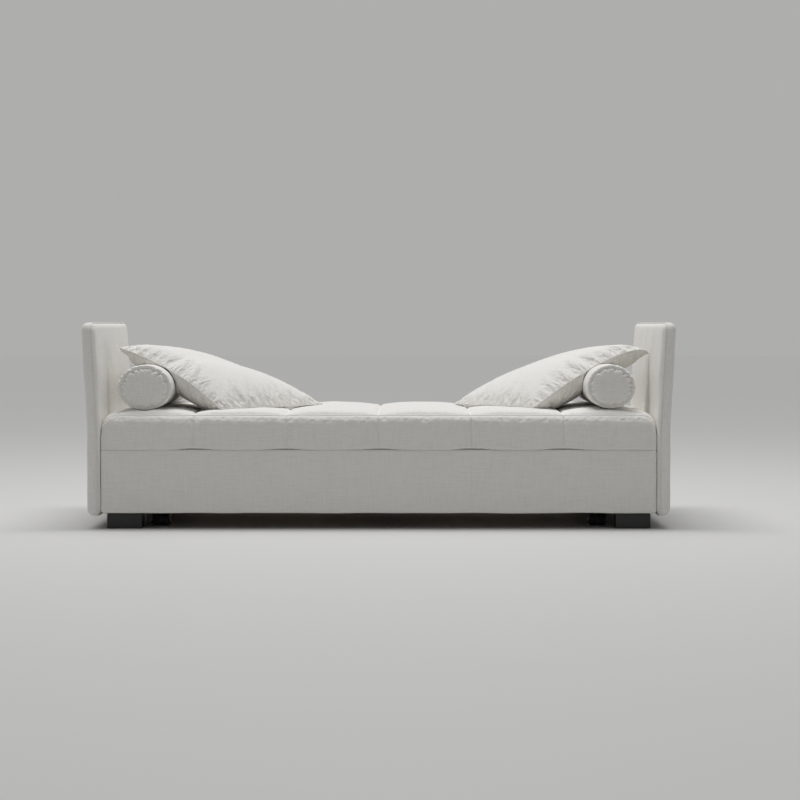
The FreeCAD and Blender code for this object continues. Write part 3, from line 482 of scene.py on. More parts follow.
def ticking_cloth(base):
    """Cotton ticking, a dense twill. It gives the eye a smooth pale cloth with fine slanting ribs. The ribs
    are 1 mm apart, too fine to show, so they are drawn 8.5 mm apart, which is 12 mm along an edge."""
    along_edge = 12 * MM
    material, tree, surface, place = new_finish("Cotton ticking", {
        "Base Color": base, "Roughness": 0.8, "Sheen Weight": 0.1,
    })
    ribs = add_node(
        tree, "ShaderNodeTexWave", {"bands_direction": "DIAGONAL"},
        {"Vector": place, "Scale": 2 * math.pi / (10 * along_edge), "Distortion": 0.6},
    )
    bump = add_node(
        tree, "ShaderNodeBump", {}, {"Height": ribs.outputs["Fac"], "Strength": 0.35, "Distance": 0.6 * MM}
    )
    tree.links.new(bump.outputs[0], surface.inputs["Normal"])
    return material


def sawn_wood(name, base, grain, run, ring, roughness):
    """Wood cut along its grain. It gives the eye long streaks of two close browns, and a satin face. Its
    grain is 1 or 2 mm wide, too fine to show, so the streaks are drawn 9 or 14 mm wide."""
    material, tree, surface, place = new_finish(name, {"Roughness": roughness})
    scale = [1 / (ring if axis != run else 18 * ring) for axis in range(3)]
    stretched = add_node(tree, "ShaderNodeMapping", {}, {"Vector": place, "Scale": scale})
    streak = add_node(
        tree, "ShaderNodeTexNoise", {}, {"Vector": stretched.outputs[0], "Scale": 1.0, "Detail": 5.0}
    )
    shade = add_node(
        tree, "ShaderNodeMix", {"data_type": "RGBA"},
        {"Factor": streak.outputs["Fac"], "A": base, "B": grain},
    )
    bump = add_node(
        tree, "ShaderNodeBump", {},
        {"Height": streak.outputs["Fac"], "Strength": 0.25, "Distance": 0.3 * MM},
    )
    feed(tree, surface, {"Base Color": shade.outputs["Result"], "Normal": bump.outputs[0]})
    return material


def grained(name, base, grit, depth, roughness, metallic=0.0):
    """A coated, moulded or plated face. It gives the eye one colour broken by the fine grit of its surface,
    a little rougher and smoother in patches. Such grit is under 1 mm, too fine to show, so it is drawn 2.5
    to 4 mm across."""
    material, tree, surface, place = new_finish(name, {"Metallic": metallic, "Base Color": base})
    speck = add_node(tree, "ShaderNodeTexNoise", {}, {"Vector": place, "Scale": 1 / grit, "Detail": 3.0})
    worn = add_node(
        tree, "ShaderNodeTexNoise", {}, {"Vector": place, "Scale": 1 / (60 * MM), "Detail": 2.0}
    )
    gloss = add_node(
        tree, "ShaderNodeMapRange", {},
        {"Value": worn.outputs["Fac"], "To Min": roughness - 0.08, "To Max": roughness + 0.08},
    )
    bump = add_node(
        tree, "ShaderNodeBump", {}, {"Height": speck.outputs["Fac"], "Strength": 0.4, "Distance": depth}
    )
    feed(tree, surface, {"Roughness": gloss.outputs[0], "Normal": bump.outputs[0]})
    return material


def linen():
    return bpy.data.materials.get("Washed linen") or linen_cloth()


# Pieces

class DAYBED_OT_end_panels(bpy.types.Operator):
    """Upholster both end panels, with a double welt along the inner edge"""

    bl_idname = "daybed.end_panels"
    bl_label = "End panels"

    def execute(self, context):
        for side, sign in (("left", -1), ("right", 1)):
            self.upholster(side, sign, inner_face(side))
        return {"FINISHED"}

    def upholster(self, side, sign, foot):
        """One panel's cover over its foam, and the welt in a groove round it."""
        low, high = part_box(f"{side}_end_cover")
        thickness, corner, edge, sunk = 46 * MM, 32 * MM, 20 * MM, 1.2 * MM
        half = (thickness / 2, (high.y - low.y) / 2, (high.z - low.z) / 2)
        middle = (low.z + high.z) / 2
        spacing = (40 * MM, 4 * MM, 12 * MM)
        u, v, w, _, quads = slab_skin(half, 11, spacing, spacing)
        above = np.where(u < 0, np.clip((w + middle - CROWN_START) / CROWN_RUN, 0, 1), 0.8)
        crown = 5 * MM * above * (1 - (v / half[1]) ** 14) * (1 - (w / half[2]) ** 10)
        swell = (crown + 0.6 * MM * uneven(v, w, 190 * MM)) * (np.abs(u) > half[0] - MM)
        on_rim = (np.abs(v) > half[1] - MM) | (np.abs(w) > half[2] - MM)
        welt_u = -half[0] + 11 * MM
        groove = sunk * hill(u - welt_u, 3 * MM) * on_rim
        u, v, w = round_slab(u, v, w, half, corner, edge)
        u = u + np.sign(u) * swell
        v, w = v * (1 - groove / half[1]), w * (1 - groove / half[2])
        points = self.bent(u, v, w, half[0], middle, sign, foot)
        if sign < 0:
            quads = quads[:, ::-1]
        piece = new_piece(f"{side}_end_upholstery", points, quads, linen())
        placed(piece, "bed_frame", "upholstery_linen", f"{side}_end_cover", f"{side}_end_padding")
        radius = sizes().end_welt
        outline = rounded_outline(half[1] - sunk, half[2] - sunk, corner, 8 * MM)
        loops = [
            self.bent(np.full(len(outline), cord_u), *outline.T, half[0], middle, sign, foot)
            for cord_u in (welt_u - radius, welt_u + radius)
        ]
        placed(cord_mesh(f"{side}_end_welt", loops, radius, linen()), "bed_frame", "upholstery_linen")

    def bent(self, u, v, w, half_u, middle, sign, foot):
        """Stands a flat slab up and bends its upper part outwards."""
        x, z = leaning(w + middle, u + half_u)
        return np.column_stack([sign * (foot + x), v, z])


def inner_face(side):
    """How far from the middle an end panel's inner face stands at its foot."""
    low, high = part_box(f"{side}_end_cover")
    return min(abs(low.x), abs(high.x))


def leaning(height, off):
    """How far out and how high a place lies in an end panel, off its inner face."""
    angle = np.clip((height - LEAN_START) / LEAN_RADIUS, 0, LEAN_ANGLE)
    rest = np.maximum(height - LEAN_START - LEAN_RADIUS * LEAN_ANGLE, 0)
    radius = LEAN_RADIUS - off
    out = LEAN_RADIUS - radius * np.cos(angle) + rest * math.sin(LEAN_ANGLE)
    return out, np.minimum(height, LEAN_START) + radius * np.sin(angle) + rest * math.cos(LEAN_ANGLE)


def rounded_outline(half_v, half_w, corner, step):
    """Points round a rectangle with rounded corners."""
    points = []
    for quarter, (sign_v, sign_w) in enumerate(((1, 1), (-1, 1), (-1, -1), (1, -1))):
        for angle in np.linspace(0, math.pi / 2, 8):
            turn = angle + quarter * math.pi / 2
            points.append((
                sign_v * (half_v - corner) + corner * math.cos(turn),
                sign_w * (half_w - corner) + corner * math.sin(turn),
            ))
    loop = np.array(points + points[:1])
    filled = []
    for start, end in zip(loop[:-1], loop[1:]):
        count = max(1, round(np.linalg.norm(end - start) / step))
        filled += [start + (end - start) * n / count for n in range(count)]
    return np.array(filled)


class MattressForm:
    """The quilted form of the upper mattress: where its piping, sides and top lie."""

    def __init__(self):
        low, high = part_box("upper_mattress_cover")
        self.half_x = high.x
        self.low = low.z
        self.crown = high.z
        self.depth = HALF_DEPTH - sizes().side_roll
        self.reach = self.half_x - END_ROUND
        self.pitch = 2 * self.half_x / SEGMENTS
        sewn = [self.pitch * n for n in range(1 - SEGMENTS // 2, SEGMENTS // 2)]
        self.lines = np.array([-self.reach, *sewn, self.reach])

    def from_channel(self, x):
        """Distance from the nearest sewn line or end, and half the width of the segment there."""
        gaps = np.abs(np.asarray(x)[..., None] - self.lines)
        outer = np.abs(x) > self.lines[-2]
        width = np.where(outer, (self.lines[-1] - self.lines[-2]) / 2, self.pitch / 2)
        return gaps.min(axis=-1), width

    def sewn(self, x):
        """Distance from the nearest sewn line. The ends are not sewn."""
        return np.abs(np.asarray(x)[..., None] - self.lines[1:-1]).min(axis=-1)

    def over(self, x):
        """How far a place is over a rounded end, from 0 to 1."""
        return np.clip((np.abs(x) - self.reach) / END_ROUND, 0, 1)

    def fall(self, x):
        """How far the top rounds down over an end."""
        return END_ROUND * (1 - np.sqrt(1 - self.over(x) ** 2))

    def half(self, x):
        """Half the mattress's depth at its piping, drawn in at the sewn lines and the ends."""
        drawn_in = 4 * MM * hill(self.sewn(x), 34 * MM) + 6 * MM * self.over(x) ** 2
        return self.depth - drawn_in + 1.0 * MM * uneven(x, 0, 75 * MM)

    def piping(self, x):
        """Height of the piping, which is sewn by hand and not quite level."""
        return self.low + SIDE_HEIGHT - self.fall(x) + 1.0 * MM * uneven(x, 1, 95 * MM)

    def top(self, x, y):
        """Height of the quilted top."""
        gap, width = self.from_channel(x)
        share = np.clip(gap / width, 0, 1)
        puff = 1 - (1 - share) ** 2.6
        level = self.crown - sizes().channel * (1 - puff)
        half = self.half(x)
        edge = np.clip((half - np.abs(y)) / SHOULDER, 0, 1)
        shoulder = np.sqrt(1 - (1 - edge) ** 2)
        piping = self.piping(x) + self.fall(x)
        arch = TOP_ARC * (1 - np.clip(np.abs(y) / (half - SHOULDER), 0, 1) ** 2)
        z = piping + (level - TOP_ARC - piping) * shoulder + arch * shoulder
        stitched = hill(self.sewn(x), 6 * MM)
        drawn = np.exp(-self.sewn(x) / (22 * MM))
        z = z - 4.5 * MM * stitched * shoulder
        z = z + 3.2 * MM * (gathers(y, 21 * MM) - 0.5) * drawn * (1 - stitched) * shoulder
        z = z + 1.1 * MM * uneven(x, y, 170 * MM) * shoulder
        inside = half - np.abs(y)
        crimp = 0.5 * sizes().pucker * (gathers(x, GATHER) - 0.5) * np.exp(-inside / (16 * MM))
        groove = 2.0 * MM * hill(inside, 4 * MM)
        z = z + crimp * np.clip(edge * 6, 0, 1) - groove - self.fall(x)
        return self.pressed(x, y, z)

    def pressed(self, x, y, z):
        """The top's height where the bolsters press it down."""
        for side in ("left", "right"):
            centre, size = bolster_box(side)
            across = np.clip((x - centre.x) * 2 / size.x, -1, 1)
            beneath = centre.z - size.z / 2 * np.sqrt(1 - across ** 2) - 0.6 * MM
            past_end = np.maximum(np.abs(y - centre.y) - size.y / 2, 0)
            z = np.minimum(z, beneath + past_end)
        return z

    def side(self, x, share):
        """How far out the side stands and how high, from its lower edge at 0 to the piping at 1."""
        half, piping = self.half(x), self.piping(x)
        under = (piping - self.low) * (1 - share)
        drawn_up = hill(self.sewn(x), 75 * MM)
        sag = 5 * MM * (1 - drawn_up) + 0.7 * MM * uneven(x, 0, 240 * MM)
        z = piping - under - np.maximum(sag, 0) * (1 - share) ** 3
        fold = 0.5 + 0.5 * uneven(x, 0, 210 * MM)
        patch = 0.5 + 0.5 * uneven(x, 2, 65 * MM)
        drape = 34 * MM * (0.5 + 0.7 * gathers(x, GATHER) * (0.4 + 0.6 * fold) + 0.4 * patch)
        roll = np.sqrt(1 - np.clip(1 - under / drape, 0, 1) ** 2)
        crimp = (0.4 + 0.8 * fold) * (gathers(x, GATHER) - 0.5) * np.exp(-under / (20 * MM))
        dimple = (0.35 + 0.65 * patch) * uneven(x, 1.3 * under, 26 * MM)
        crimp = crimp + 0.5 * dimple * np.exp(-under / (13 * MM))
        middle = 4 * share * (1 - share)
        crease = 5 * MM * hill(self.sewn(x), 4.5 * MM)
        beside = 2 * MM * hill(self.sewn(x) - 14 * MM, 8 * MM)
        lip = 8 * MM * np.clip(1 - share / 0.45, 0, 1) ** 2
        out = half + sizes().side_roll * roll + 5 * MM * middle + lip
        out = out + (beside - crease) * np.clip(share * 5, 0, 1) * np.clip((1 - share) * 6, 0, 1)
        out = out + 0.9 * MM * uneven(x, z, 120 * MM) * middle
        return out + sizes().pucker * crimp * np.clip((1 - share) * 12, 0, 1), z


class DAYBED_OT_upper_mattress(bpy.types.Operator):
    """Sew the quilted upper mattress and its piping"""

    bl_idname = "daybed.upper_mattress"
    bl_label = "Upper mattress"

    def execute(self, context):
        form = MattressForm()
        turn = np.linspace(0, math.pi / 2, 12)
        cap = form.reach + END_ROUND * np.sin(turn)
        ends = zip(form.lines, form.lines[1:])
        segments = [graded(low, high, 24 * MM, 2.4 * MM, 5 * MM)[1:] for low, high in ends]
        xs = np.concatenate([-cap[::-1], *segments, cap[1:]])
        ts = graded(-1, 1, 0.16, 0.012, 0.016)
        shares = graded(0, 1, 0.25, 0.025, 0.06)
        i, j, k, quads = box_skin(len(xs), len(ts), len(shares))
        x, t, share = xs[i], ts[j], shares[k]
        y = t * form.half(x)
        top = form.top(x, y)
        z = form.low + (top - form.low) * share
        low_edge = np.exp(-(form.half(x) - np.abs(y)) / (2.2 * MM))
        side_low, side_low_z = form.side(x, 0 * x)
        under = k == 0
        z = np.where(under, form.low + (side_low_z - form.low) * low_edge, z)
        y = np.where(under, t * side_low, y)
        on_side = (j == 0) | (j == len(ts) - 1)
        out, side_z = form.side(x, share)
        y = np.where(on_side, np.sign(t) * out, y)
        z = np.where(on_side, side_z, z)
        on_end = (i == 0) | (i == len(xs) - 1)
        x = np.where(on_end, x + np.sign(x) * 1.0 * MM * 4 * share * (1 - share), x)
        quads, first, last = self.plain_underside(i, j, k, quads)
        used, faces = only_used(len(x), quads, first, last)
        points = np.column_stack([x, y, z])[used]
        piece = closed_ends("upper_mattress_quilt", points, *faces, linen())
        placed(piece, "bed_frame", "mattress_linen", "upper_mattress_cover", "upper_mattress_core")
        end_y = np.linspace(-1, 1, 60)[1:-1] * form.half(xs[-1])
        front = np.column_stack([xs, -form.half(xs), form.piping(xs)])
        right = np.column_stack([np.full(len(end_y), xs[-1]), end_y, form.top(xs[-1], end_y)])
        back = front[::-1] * (1, -1, 1)
        left = right[::-1] * (-1, 1, 1)
        loop = np.concatenate([front, right, back, left])
        cord = cord_mesh("upper_mattress_piping", [loop], sizes().piping, linen())
        placed(cord, "bed_frame", "mattress_linen")
        return {"FINISHED"}

    def plain_underside(self, i, j, k, quads):
        """The quads with strips across the flat middle of the underside, and a face for each end of it."""
        under = k == 0
        base = np.empty((i.max() + 1, j.max() + 1), int)
        base[i[under], j[under]] = np.nonzero(under)[0]
        near, far = UNDERSIDE_RIM, j.max() - UNDERSIDE_RIM
        middle = np.all(under[quads] & (j[quads] >= near) & (j[quads] <= far), axis=1)
        rows = base[1:-1]
        strips = np.column_stack([rows[:-1, near], rows[:-1, far], rows[1:, far], rows[1:, near]])
        first = np.array([*base[0, near:far + 1], base[1, far], base[1, near]])
        last = np.array([base[-2, near], base[-2, far], *base[-1, near:far + 1][::-1]])
        return np.concatenate([quads[~middle], strips]), first, last


class DAYBED_OT_long_panels(bpy.types.Operator):
    """Wrap the front and back panels in padded cloth"""

    bl_idname = "daybed.long_panels"
    bl_label = "Long panels"

    def execute(self, context):
        for side, sign, body in (("front", -1, "trundle"), ("back", 1, "bed_frame")):
            self.wrap(side, sign, body)
        return {"FINISHED"}

    def wrap(self, side, sign, body):
        """One panel's cover, padded in front and open behind, round its core."""
        low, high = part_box(f"{side}_panel_cover")
        core_low, core_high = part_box(f"{side}_panel_core")
        centre, size = (low + high) / 2, high - low
        half = (size.y / 2, size.x / 2, size.z / 2)
        spacings = (40 * MM, 4 * MM, 12 * MM), (24 * MM, 3 * MM, 9 * MM)
        u, v, w, layer, quads = slab_skin(half, 9, *spacings)
        u, v, w = round_slab(u, v, w, half, 10 * MM, 7.5 * MM, both=False)
        front = np.clip((u + half[0]) / (2 * half[0]), 0, 1)
        wave = 0.5 + 0.5 * uneven(v, 0, 330 * MM)
        hem = sizes().hem_wave * wave * np.exp(-(w + half[2]) / (30 * MM))
        slack = 0.7 * MM * uneven(v, w, 260 * MM) + 0.5 * MM * uneven(w, 3 * v, 900 * MM)
        inside = np.clip((half[2] - np.abs(w)) / (12 * MM), 0, 1)
        u = u + (slack - 0.8 * MM) * inside * (front > 0.9)
        w = w + hem * front
        outer = np.column_stack([v, centre.y + sign * u, w + centre.z])
        back_face = np.all(layer[quads] == 0, axis=1)
        quads = quads[~back_face]
        if sign > 0:
            quads = quads[:, ::-1]
        fit = 0.2 * MM
        inner = np.clip(outer, np.array(core_low) - fit, np.array(core_high) + fit)
        points, quads = lined(outer, inner, quads)
        piece = new_piece(f"{side}_panel_upholstery", points, quads, linen())
        placed(piece, body, "upholstery_linen", f"{side}_panel_cover", f"{side}_panel_padding")


def lined(outer, inner, quads):
    """An open cover with an inner face added, closed along its free edges. Loose vertices are dropped."""
    used, (quads,) = only_used(len(outer), quads)
    count = len(used)
    edges = np.concatenate([quads[:, [n, (n + 1) % 4]] for n in range(4)])
    known = set(map(tuple, edges))
    free = np.array([edge for edge in map(tuple, edges) if edge[::-1] not in known])
    rim = np.column_stack([free[:, 1], free[:, 0], free[:, 0] + count, free[:, 1] + count])
    points = np.concatenate([outer[used], inner[used]])
    return points, np.concatenate([quads, quads[:, ::-1] + count, rim])


class DAYBED_OT_lower_mattress(bpy.types.Operator):
    """Sew the plain lower mattress and its piping"""

    bl_idname = "daybed.lower_mattress"
    bl_label = "Lower mattress"

    def execute(self, context):
        finish = ticking_cloth(colours().ticking)
        low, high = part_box("lower_mattress_cover")
        centre, size = (low + high) / 2, high - low
        half = (size.z / 2, size.x / 2, size.y / 2)
        corner, edge = 26 * MM, 14 * MM
        spacing = (40 * MM, 4 * MM, 20 * MM)
        u, v, w, layer, quads = slab_skin(half, 17, spacing, spacing)
        on_top = layer == layer.max()
        u, v, w = round_slab(u, v, w, half, corner, edge)
        u = u + 0.9 * MM * (uneven(v, w, 240 * MM) - 1) * on_top
        points = np.column_stack([v, w, u]) + np.array(centre)
        piece = new_piece("lower_mattress_sleeve", points, quads, finish)
        placed(piece, "trundle", "mattress_ticking", "lower_mattress_cover", "lower_mattress_core")
        sunk = 0.6 * MM
        outline = rounded_outline(half[1] - sunk, half[2] - sunk, corner, 20 * MM) + np.array(centre.xy)
        loops = [
            np.column_stack([outline, np.full(len(outline), height)])
            for height in (high.z - edge, low.z + edge)
        ]
        cord = cord_mesh("lower_mattress_piping", loops, 2 * MM, finish)
        placed(cord, "trundle", "mattress_ticking")
        return {"FINISHED"}


class DAYBED_OT_bolsters(bpy.types.Operator):
    """Stuff both bolsters, with gathered ends"""

    bl_idname = "daybed.bolsters"
    bl_label = "Bolsters"

    def execute(self, context):
        for side in ("left", "right"):
            self.roll(side)
        return {"FINISHED"}

    def roll(self, side):
        """One bolster, turned from rings and pinched along both end seams."""
        centre, size = bolster_box(side)
        around, disc_rings, inset, turn = 280, 22, 10 * MM, 16 * MM
        dome = sizes().bolster_dome
        seam_y = size.y / 2 - dome
        tall = size.z / 2
        disc = 1 - np.linspace(0.985, 0, disc_rings) ** 1.5
        bend = np.linspace(0, math.pi / 2, 9)[1:]
        body = graded(-seam_y + turn, seam_y - turn, 36 * MM, 4 * MM, 14 * MM)[1:-1]
        end_y = np.concatenate([-seam_y - dome * (1 - disc ** 2), -seam_y + turn * (1 - np.cos(bend))])
        end_r = np.concatenate([disc * (tall - inset), tall - inset + inset * np.sin(bend)])
        y = np.concatenate([end_y, body, -end_y[::-1]])[:, None]
        reach = np.concatenate([end_r, np.full(len(body), tall), end_r[::-1]])[:, None] / tall
        angle = np.linspace(0, 2 * math.pi, around, endpoint=False)[None, :]
        on_disc = reach * tall < tall - inset + 0.1 * MM
        past_seam = np.hypot(seam_y - np.abs(y), reach * tall - tall + inset)
        from_seam = np.where(on_disc, tall - inset - reach * tall, past_seam)
        girth = 2 * math.pi * tall
        chance = np.random.default_rng(FOLD_SEED[side])
        folds = round(girth / (23 * MM))
        pinched = np.zeros((2, around))
        for place in (np.arange(folds) + chance.uniform(-0.35, 0.35, folds)) * 2 * math.pi / folds:
            for end in (0, 1):
                turn_to = (angle[0] - place + 0.4 * end + math.pi) % (2 * math.pi) - math.pi
                width = chance.uniform(3.5, 7) * MM
                depth = chance.uniform(0.3, 1.0) * (0.7 + 0.3 * math.sin(place))
                pinched[end] += depth * hill(turn_to * tall, width)
        drawn = np.where(y < 0, pinched[0], pinched[1])
        fade = np.where(on_disc, hill(from_seam, 13 * MM), np.exp(-from_seam / (11 * MM)))
        pinch = sizes().bolster_pinch * drawn * fade
        seam = 7 * MM * (1 - 0.5 * np.clip(drawn, 0, 1)) * hill(from_seam, 4.5 * MM)
        swell = 0.7 * MM * uneven(angle * tall, y, 140 * MM) - 0.8 * pinch - 0.5 * seam
        x = centre.x + (size.x / 2 * reach + swell * reach) * np.cos(angle)
        z = centre.z + (tall * reach + swell * reach) * np.sin(angle)
        y = centre.y + y - np.sign(y) * (0.8 * pinch + seam)
        number = np.arange(x.size).reshape(x.shape)
        quads = quads_of(np.concatenate([number, number[:, :1]], axis=1), False)
        points = self.within(np.column_stack([x.ravel(), y.ravel(), z.ravel()]), centre, size)
        piece = closed_ends(f"{side}_bolster_roll", points, quads, number[0], number[-1][::-1], linen())
        placed(piece, f"{side}_bolster", "cushion_linen", f"{side}_bolster")

    def within(self, points, centre, size):
        """Keeps a bolster's points within its oval, where the pillow and the mattress touch it."""
        across, up = (points[:, 0] - centre.x) * 2 / size.x, (points[:, 2] - centre.z) * 2 / size.z
        scale = np.minimum(1 / np.maximum(np.hypot(across, up), 1e-6), 1)
        points[:, 0] = centre.x + (points[:, 0] - centre.x) * scale
        points[:, 2] = centre.z + (points[:, 2] - centre.z) * scale
        return points


class DAYBED_OT_pillows(bpy.types.Operator):
    """Sew and stuff both pillows, each leaning over a bolster"""

    bl_idname = "daybed.pillows"
    bl_label = "Pillows"

    def execute(self, context):
        for side, corners in (("left", LEFT_PILLOW), ("right", RIGHT_PILLOW)):
            self.sew(side, np.array(corners))
        return {"FINISHED"}

    def sew(self, side, corners):
        """One pillow, laid on what carries it and then stuffed."""
        number, below, inner = two_sheets(PILLOW_POINTS)
        share = np.linspace(0, 1, len(number))
        s, t = np.meshgrid(share, share, indexing="ij")
        top, under = self.cut(side, s, t, corners)
        points = self.rest_on(side, both_sheets(top, under, inner), PILLOW_GAP)
        high_front, low_front, _, high_back = corners
        faces_up = np.cross(low_front - high_front, high_back - high_front)[2] > 0
        size = np.linalg.norm(low_front - high_front)
        gap = np.minimum(np.minimum(s, 1 - s), np.minimum(t, 1 - t)) * size
        held = np.where(inner, 0.0, 1.0)
        slack = np.exp(-gap / (60 * MM))
        points = stuff(
            points,
            case_quads(number, below, faces_up),
            both_sheets(held, held, inner),
            both_sheets(slack, slack, inner),
            pressure=4.0,
            cap=14 * MM,
        )
        top = points[:number.size].reshape(top.shape)
        under = top.copy()
        under[inner] = points[number.size:]
        self.finish(side, finer(top), finer(under), size, faces_up)

    def cut(self, side, s, t, corners):
        """The upper and the under sheet of a pillow before it is stuffed."""
        sides = (4 * t * (1 - t)) ** 0.5
        rise, fall = PILLOW_SLOPE[side]
        bent = s ** BOW_PLACE[side]
        top = self.middle_sheet(s, t, corners)
        top[..., 2] += PILLOW_BOW[side] * 4 * bent * (1 - bent) * (1 - t)
        under = top.copy()
        sag = PILLOW_SAG[side] * hill(s - 0.46, 0.14)
        swell = (2 * s) ** rise * (2 * (1 - s)) ** fall
        hang = (4 * s * (1 - s)) ** 0.45 * (4 * t * (1 - t)) ** 0.45
        rough = 0.4 * MM * uneven(s, t, 0.03) * (sides > 0)
        top[..., 2] += (PILLOW_CROWN[side] * swell - sag) * sides + rough
        under[..., 2] -= sizes().pillow_under * hang - rough
        return top, under

    def finish(self, side, top, under, size, faces_up):
        """Crinkles the cloth beside the seam, and lays a cord along it."""
        number, below, inner = two_sheets(len(top))
        share = np.linspace(0, 1, len(top))
        crinkle = self.crinkle(*np.meshgrid(share, share, indexing="ij"), size)[..., None]
        out = 1 if faces_up else -1
        top = top + out * sheet_normals(top) * crinkle
        under = under - out * sheet_normals(under) * 0.3 * crinkle
        clear = np.where(inner, PILLOW_GAP, 1.2 * sizes().pillow_seam)
        points = both_sheets(top, under, inner)
        points = self.rest_on(side, points, both_sheets(clear, clear, inner))
        quads = case_quads(number, below, faces_up)
        piece = new_piece(f"{side}_pillow_case", points, quads, linen())
        placed(piece, f"{side}_pillow", "cushion_linen", f"{side}_pillow")
        around = np.concatenate([number[:-1, 0], number[-1, :-1], number[:0:-1, -1], number[0, :0:-1]])
        cord = cord_mesh(f"{side}_pillow_seam", [points[around]], sizes().pillow_seam, linen())
        placed(cord, f"{side}_pillow", "cushion_linen")

    def crinkle(self, s, t, size):
        """How far the cloth crinkles up beside each of the four seams."""
        total = np.zeros(s.shape)
        for gap, run, start in ((s, t, 0.0), (1 - s, t, 1.3), (t, s, 2.9), (1 - t, s, 4.1)):
            gap, run = gap * size, run * size + start
            slant = run + 0.4 * gap + 7 * MM * uneven(run, gap, 70 * MM)
            reach = 30 * MM * (1 + 0.6 * uneven(run, 0, 120 * MM))
            beside = np.exp(-gap / np.maximum(reach, 8 * MM)) * (1 - hill(gap, 8 * MM))
            total += (gathers(slant, 14 * MM) - 0.5) * beside
        from_corner = (np.minimum(s, 1 - s) + np.minimum(t, 1 - t)) * size
        return sizes().pillow_crinkle * total * (1 - 0.8 * np.exp(-from_corner / (45 * MM)))

    def middle_sheet(self, s, t, corners):
        """The flat sheet between a pillow's corners."""
        high_front, low_front, low_back, high_back = corners
        s, t = s[..., None], t[..., None]
        return (1 - s) * ((1 - t) * high_front + t * high_back) + s * ((1 - t) * low_front + t * low_back)

    def rest_on(self, side, points, gap):
        """Moves points out of the bolster, the mattress and the end panel that a pillow lies on."""
        centre, size = bolster_box(side)
        wide, tall = size.x / 2 + gap, size.z / 2 + gap
        across, up = (points[:, 0] - centre.x) / wide, (points[:, 2] - centre.z) / tall
        distance = np.maximum(np.hypot(across, up), 1e-6)
        inside = (distance < 1) & (np.abs(points[:, 1]) < size.y / 2)
        points = points.copy()
        points[:, 0] = np.where(inside, centre.x + wide * across / distance, points[:, 0])
        points[:, 2] = np.where(inside, centre.z + tall * up / distance, points[:, 2])
        form = MattressForm()
        points[:, 2] = np.maximum(points[:, 2], form.top(points[:, 0], points[:, 1]) + gap)
        limit = inner_face(side) - CROWN_ROOM + leaning(points[:, 2], 0)[0]
        points[:, 0] = np.clip(points[:, 0], -limit, limit)
        return points


class DAYBED_OT_frame_finishes(bpy.types.Operator):
    """Finish the feet, boards, slats, tubes, rollers and fixings"""

    bl_idname = "daybed.frame_finishes"
    bl_label = "Frame finishes"

    def execute(self, context):
        tone = colours()
        along_x, along_y = 0, 1
        finishes = {
            "birch_slat": sawn_wood("Birch slat", tone.birch, tone.birch_grain, along_y, 9 * MM, 0.45),
            "plywood": sawn_wood("Plywood board", tone.plywood, tone.plywood_grain, along_x, 14 * MM, 0.6),
            "black_lacquer": grained("Satin black lacquer", tone.lacquer, 2.5 * MM, 0.05 * MM, 0.4),
            "powder_coat": grained("Powder coated steel", tone.powder_coat, 3 * MM, 0.15 * MM, 0.55),
            "zinc_steel": grained("Zinc plated steel", tone.zinc, 4 * MM, 0.03 * MM, 0.35, metallic=1.0),
            "nylon": grained("Moulded nylon", tone.nylon, 3 * MM, 0.1 * MM, 0.5),
            "rubber": grained("Soft rubber", tone.rubber, 2.5 * MM, 0.12 * MM, 0.8),
        }
        for part in frame["record"]["subparts"]:
            finish = finishes.get(part["material_slot"])
            if finish:
                mesh = frame["nodes"][part["node"]].data
                mesh.materials.clear()
                mesh.materials.append(finish)
        return {"FINISHED"}


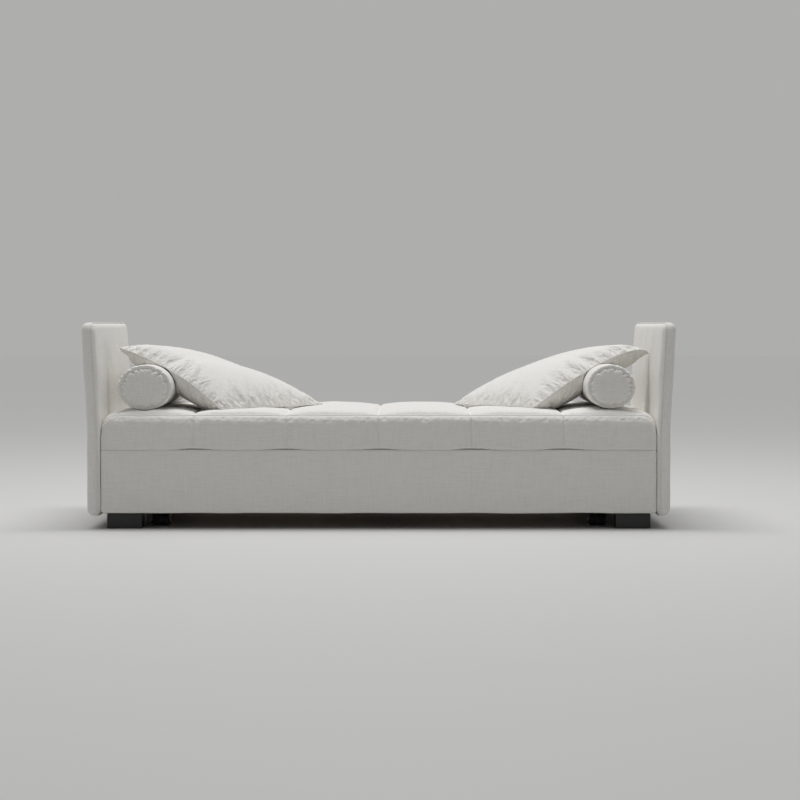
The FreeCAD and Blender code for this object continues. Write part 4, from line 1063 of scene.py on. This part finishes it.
class DAYBED_OT_stage(bpy.types.Operator):
    """Set the floor, the light and the camera"""

    bl_idname = "daybed.stage"
    bl_label = "Stage"

    def execute(self, context):
        scene = context.scene
        scene.view_settings.view_transform = "Standard"
        self.lay_floor()
        self.hang_lights(scene)
        self.stand_camera(scene)
        return {"FINISHED"}

    def lay_floor(self):
        """Painted floor. It gives the eye an even pale grey, a little duller in patches."""
        side = 40.0
        points = [(-side, -side, 0), (side, -side, 0), (side, side, 0), (-side, side, 0)]
        material, tree, surface, place = new_finish("Painted floor", {"Base Color": colours().floor})
        drift = add_node(tree, "ShaderNodeTexNoise", {}, {"Vector": place, "Scale": 0.6, "Detail": 3.0})
        gloss = add_node(
            tree, "ShaderNodeMapRange", {}, {"Value": drift.outputs["Fac"], "To Min": 0.55, "To Max": 0.7}
        )
        tree.links.new(gloss.outputs[0], surface.inputs["Roughness"])
        floor = new_piece("floor", points, [(0, 1, 2, 3)], material)

    def hang_lights(self, scene):
        world = bpy.data.worlds.new("Studio")
        scene.world = world
        world.use_nodes = True
        tree = world.node_tree
        fill = tree.nodes["Background"]
        feed(tree, fill, {"Color": linear("D9DCE0"), "Strength": 0.3})
        seen = add_node(tree, "ShaderNodeBackground", {}, {"Color": linear("AEAEAD"), "Strength": 1.0})
        ray = add_node(tree, "ShaderNodeLightPath", {}, {})
        shown = ray.outputs["Is Camera Ray"]
        for kind in ("Is Glossy Ray", "Is Transmission Ray"):
            either = {0: shown, 1: ray.outputs[kind]}
            shown = add_node(tree, "ShaderNodeMath", {"operation": "MAXIMUM"}, either).outputs[0]
        chosen = add_node(
            tree, "ShaderNodeMixShader", {}, {"Fac": shown, 1: fill.outputs[0], 2: seen.outputs[0]}
        )
        feed(tree, tree.nodes["World Output"], {"Surface": chosen.outputs[0]})
        sky = link_new("Ceiling bounce", bpy.data.lights.new("Ceiling bounce", "SUN"))
        sky.data.energy = 1.15
        sky.data.angle = math.radians(60)
        sky.rotation_euler = Vector((0.1, -0.2, -1)).to_track_quat("-Z", "Y").to_euler()
        key = link_new("Overhead softbox", bpy.data.lights.new("Overhead softbox", "AREA"))
        key.data.shape = "RECTANGLE"
        key.data.size = 2.8
        key.data.size_y = 1.5
        key.data.energy = 98
        key.location = (0, 0.45, 5.0)

    def stand_camera(self, scene):
        camera = link_new("Camera", bpy.data.cameras.new("Camera"))
        camera.data.lens = 91.3
        camera.data.sensor_width = 36
        camera.location = (0.0766, -7.73, 0.735)
        camera.rotation_euler = (math.radians(90 - 2.12), 0, 0)
        scene.camera = camera


STEPS = (
    DAYBED_OT_end_panels,
    DAYBED_OT_upper_mattress,
    DAYBED_OT_long_panels,
    DAYBED_OT_lower_mattress,
    DAYBED_OT_bolsters,
    DAYBED_OT_pillows,
    DAYBED_OT_frame_finishes,
    DAYBED_OT_stage,
)


class DAYBED_PT_sidebar(bpy.types.Panel):
    """The daybed's pieces, sizes and colours"""

    bl_idname = "DAYBED_PT_sidebar"
    bl_label = "Daybed"
    bl_space_type = "VIEW_3D"
    bl_region_type = "UI"
    bl_category = "Daybed"

    def draw(self, context):
        for step in STEPS:
            self.layout.operator(step.bl_idname)
        for group in (context.scene.daybed_sizes, context.scene.daybed_colours):
            box = self.layout.box()
            for name in group.__annotations__:
                box.prop(group, name)


CLASSES = (DaybedSizes, DaybedColours, *STEPS, DAYBED_PT_sidebar)


def register():
    for kind in CLASSES:
        bpy.utils.register_class(kind)
    bpy.types.Scene.daybed_sizes = PointerProperty(type=DaybedSizes)
    bpy.types.Scene.daybed_colours = PointerProperty(type=DaybedColours)


def unregister():
    del bpy.types.Scene.daybed_colours
    del bpy.types.Scene.daybed_sizes
    for kind in reversed(CLASSES):
        bpy.utils.unregister_class(kind)


def main():
    register()
    bpy.ops.daybed.end_panels()
    bpy.ops.daybed.upper_mattress()
    bpy.ops.daybed.long_panels()
    bpy.ops.daybed.lower_mattress()
    bpy.ops.daybed.bolsters()
    bpy.ops.daybed.pillows()
    bpy.ops.daybed.frame_finishes()
    bpy.ops.daybed.stage()


if __name__ == "__main__":
    main()
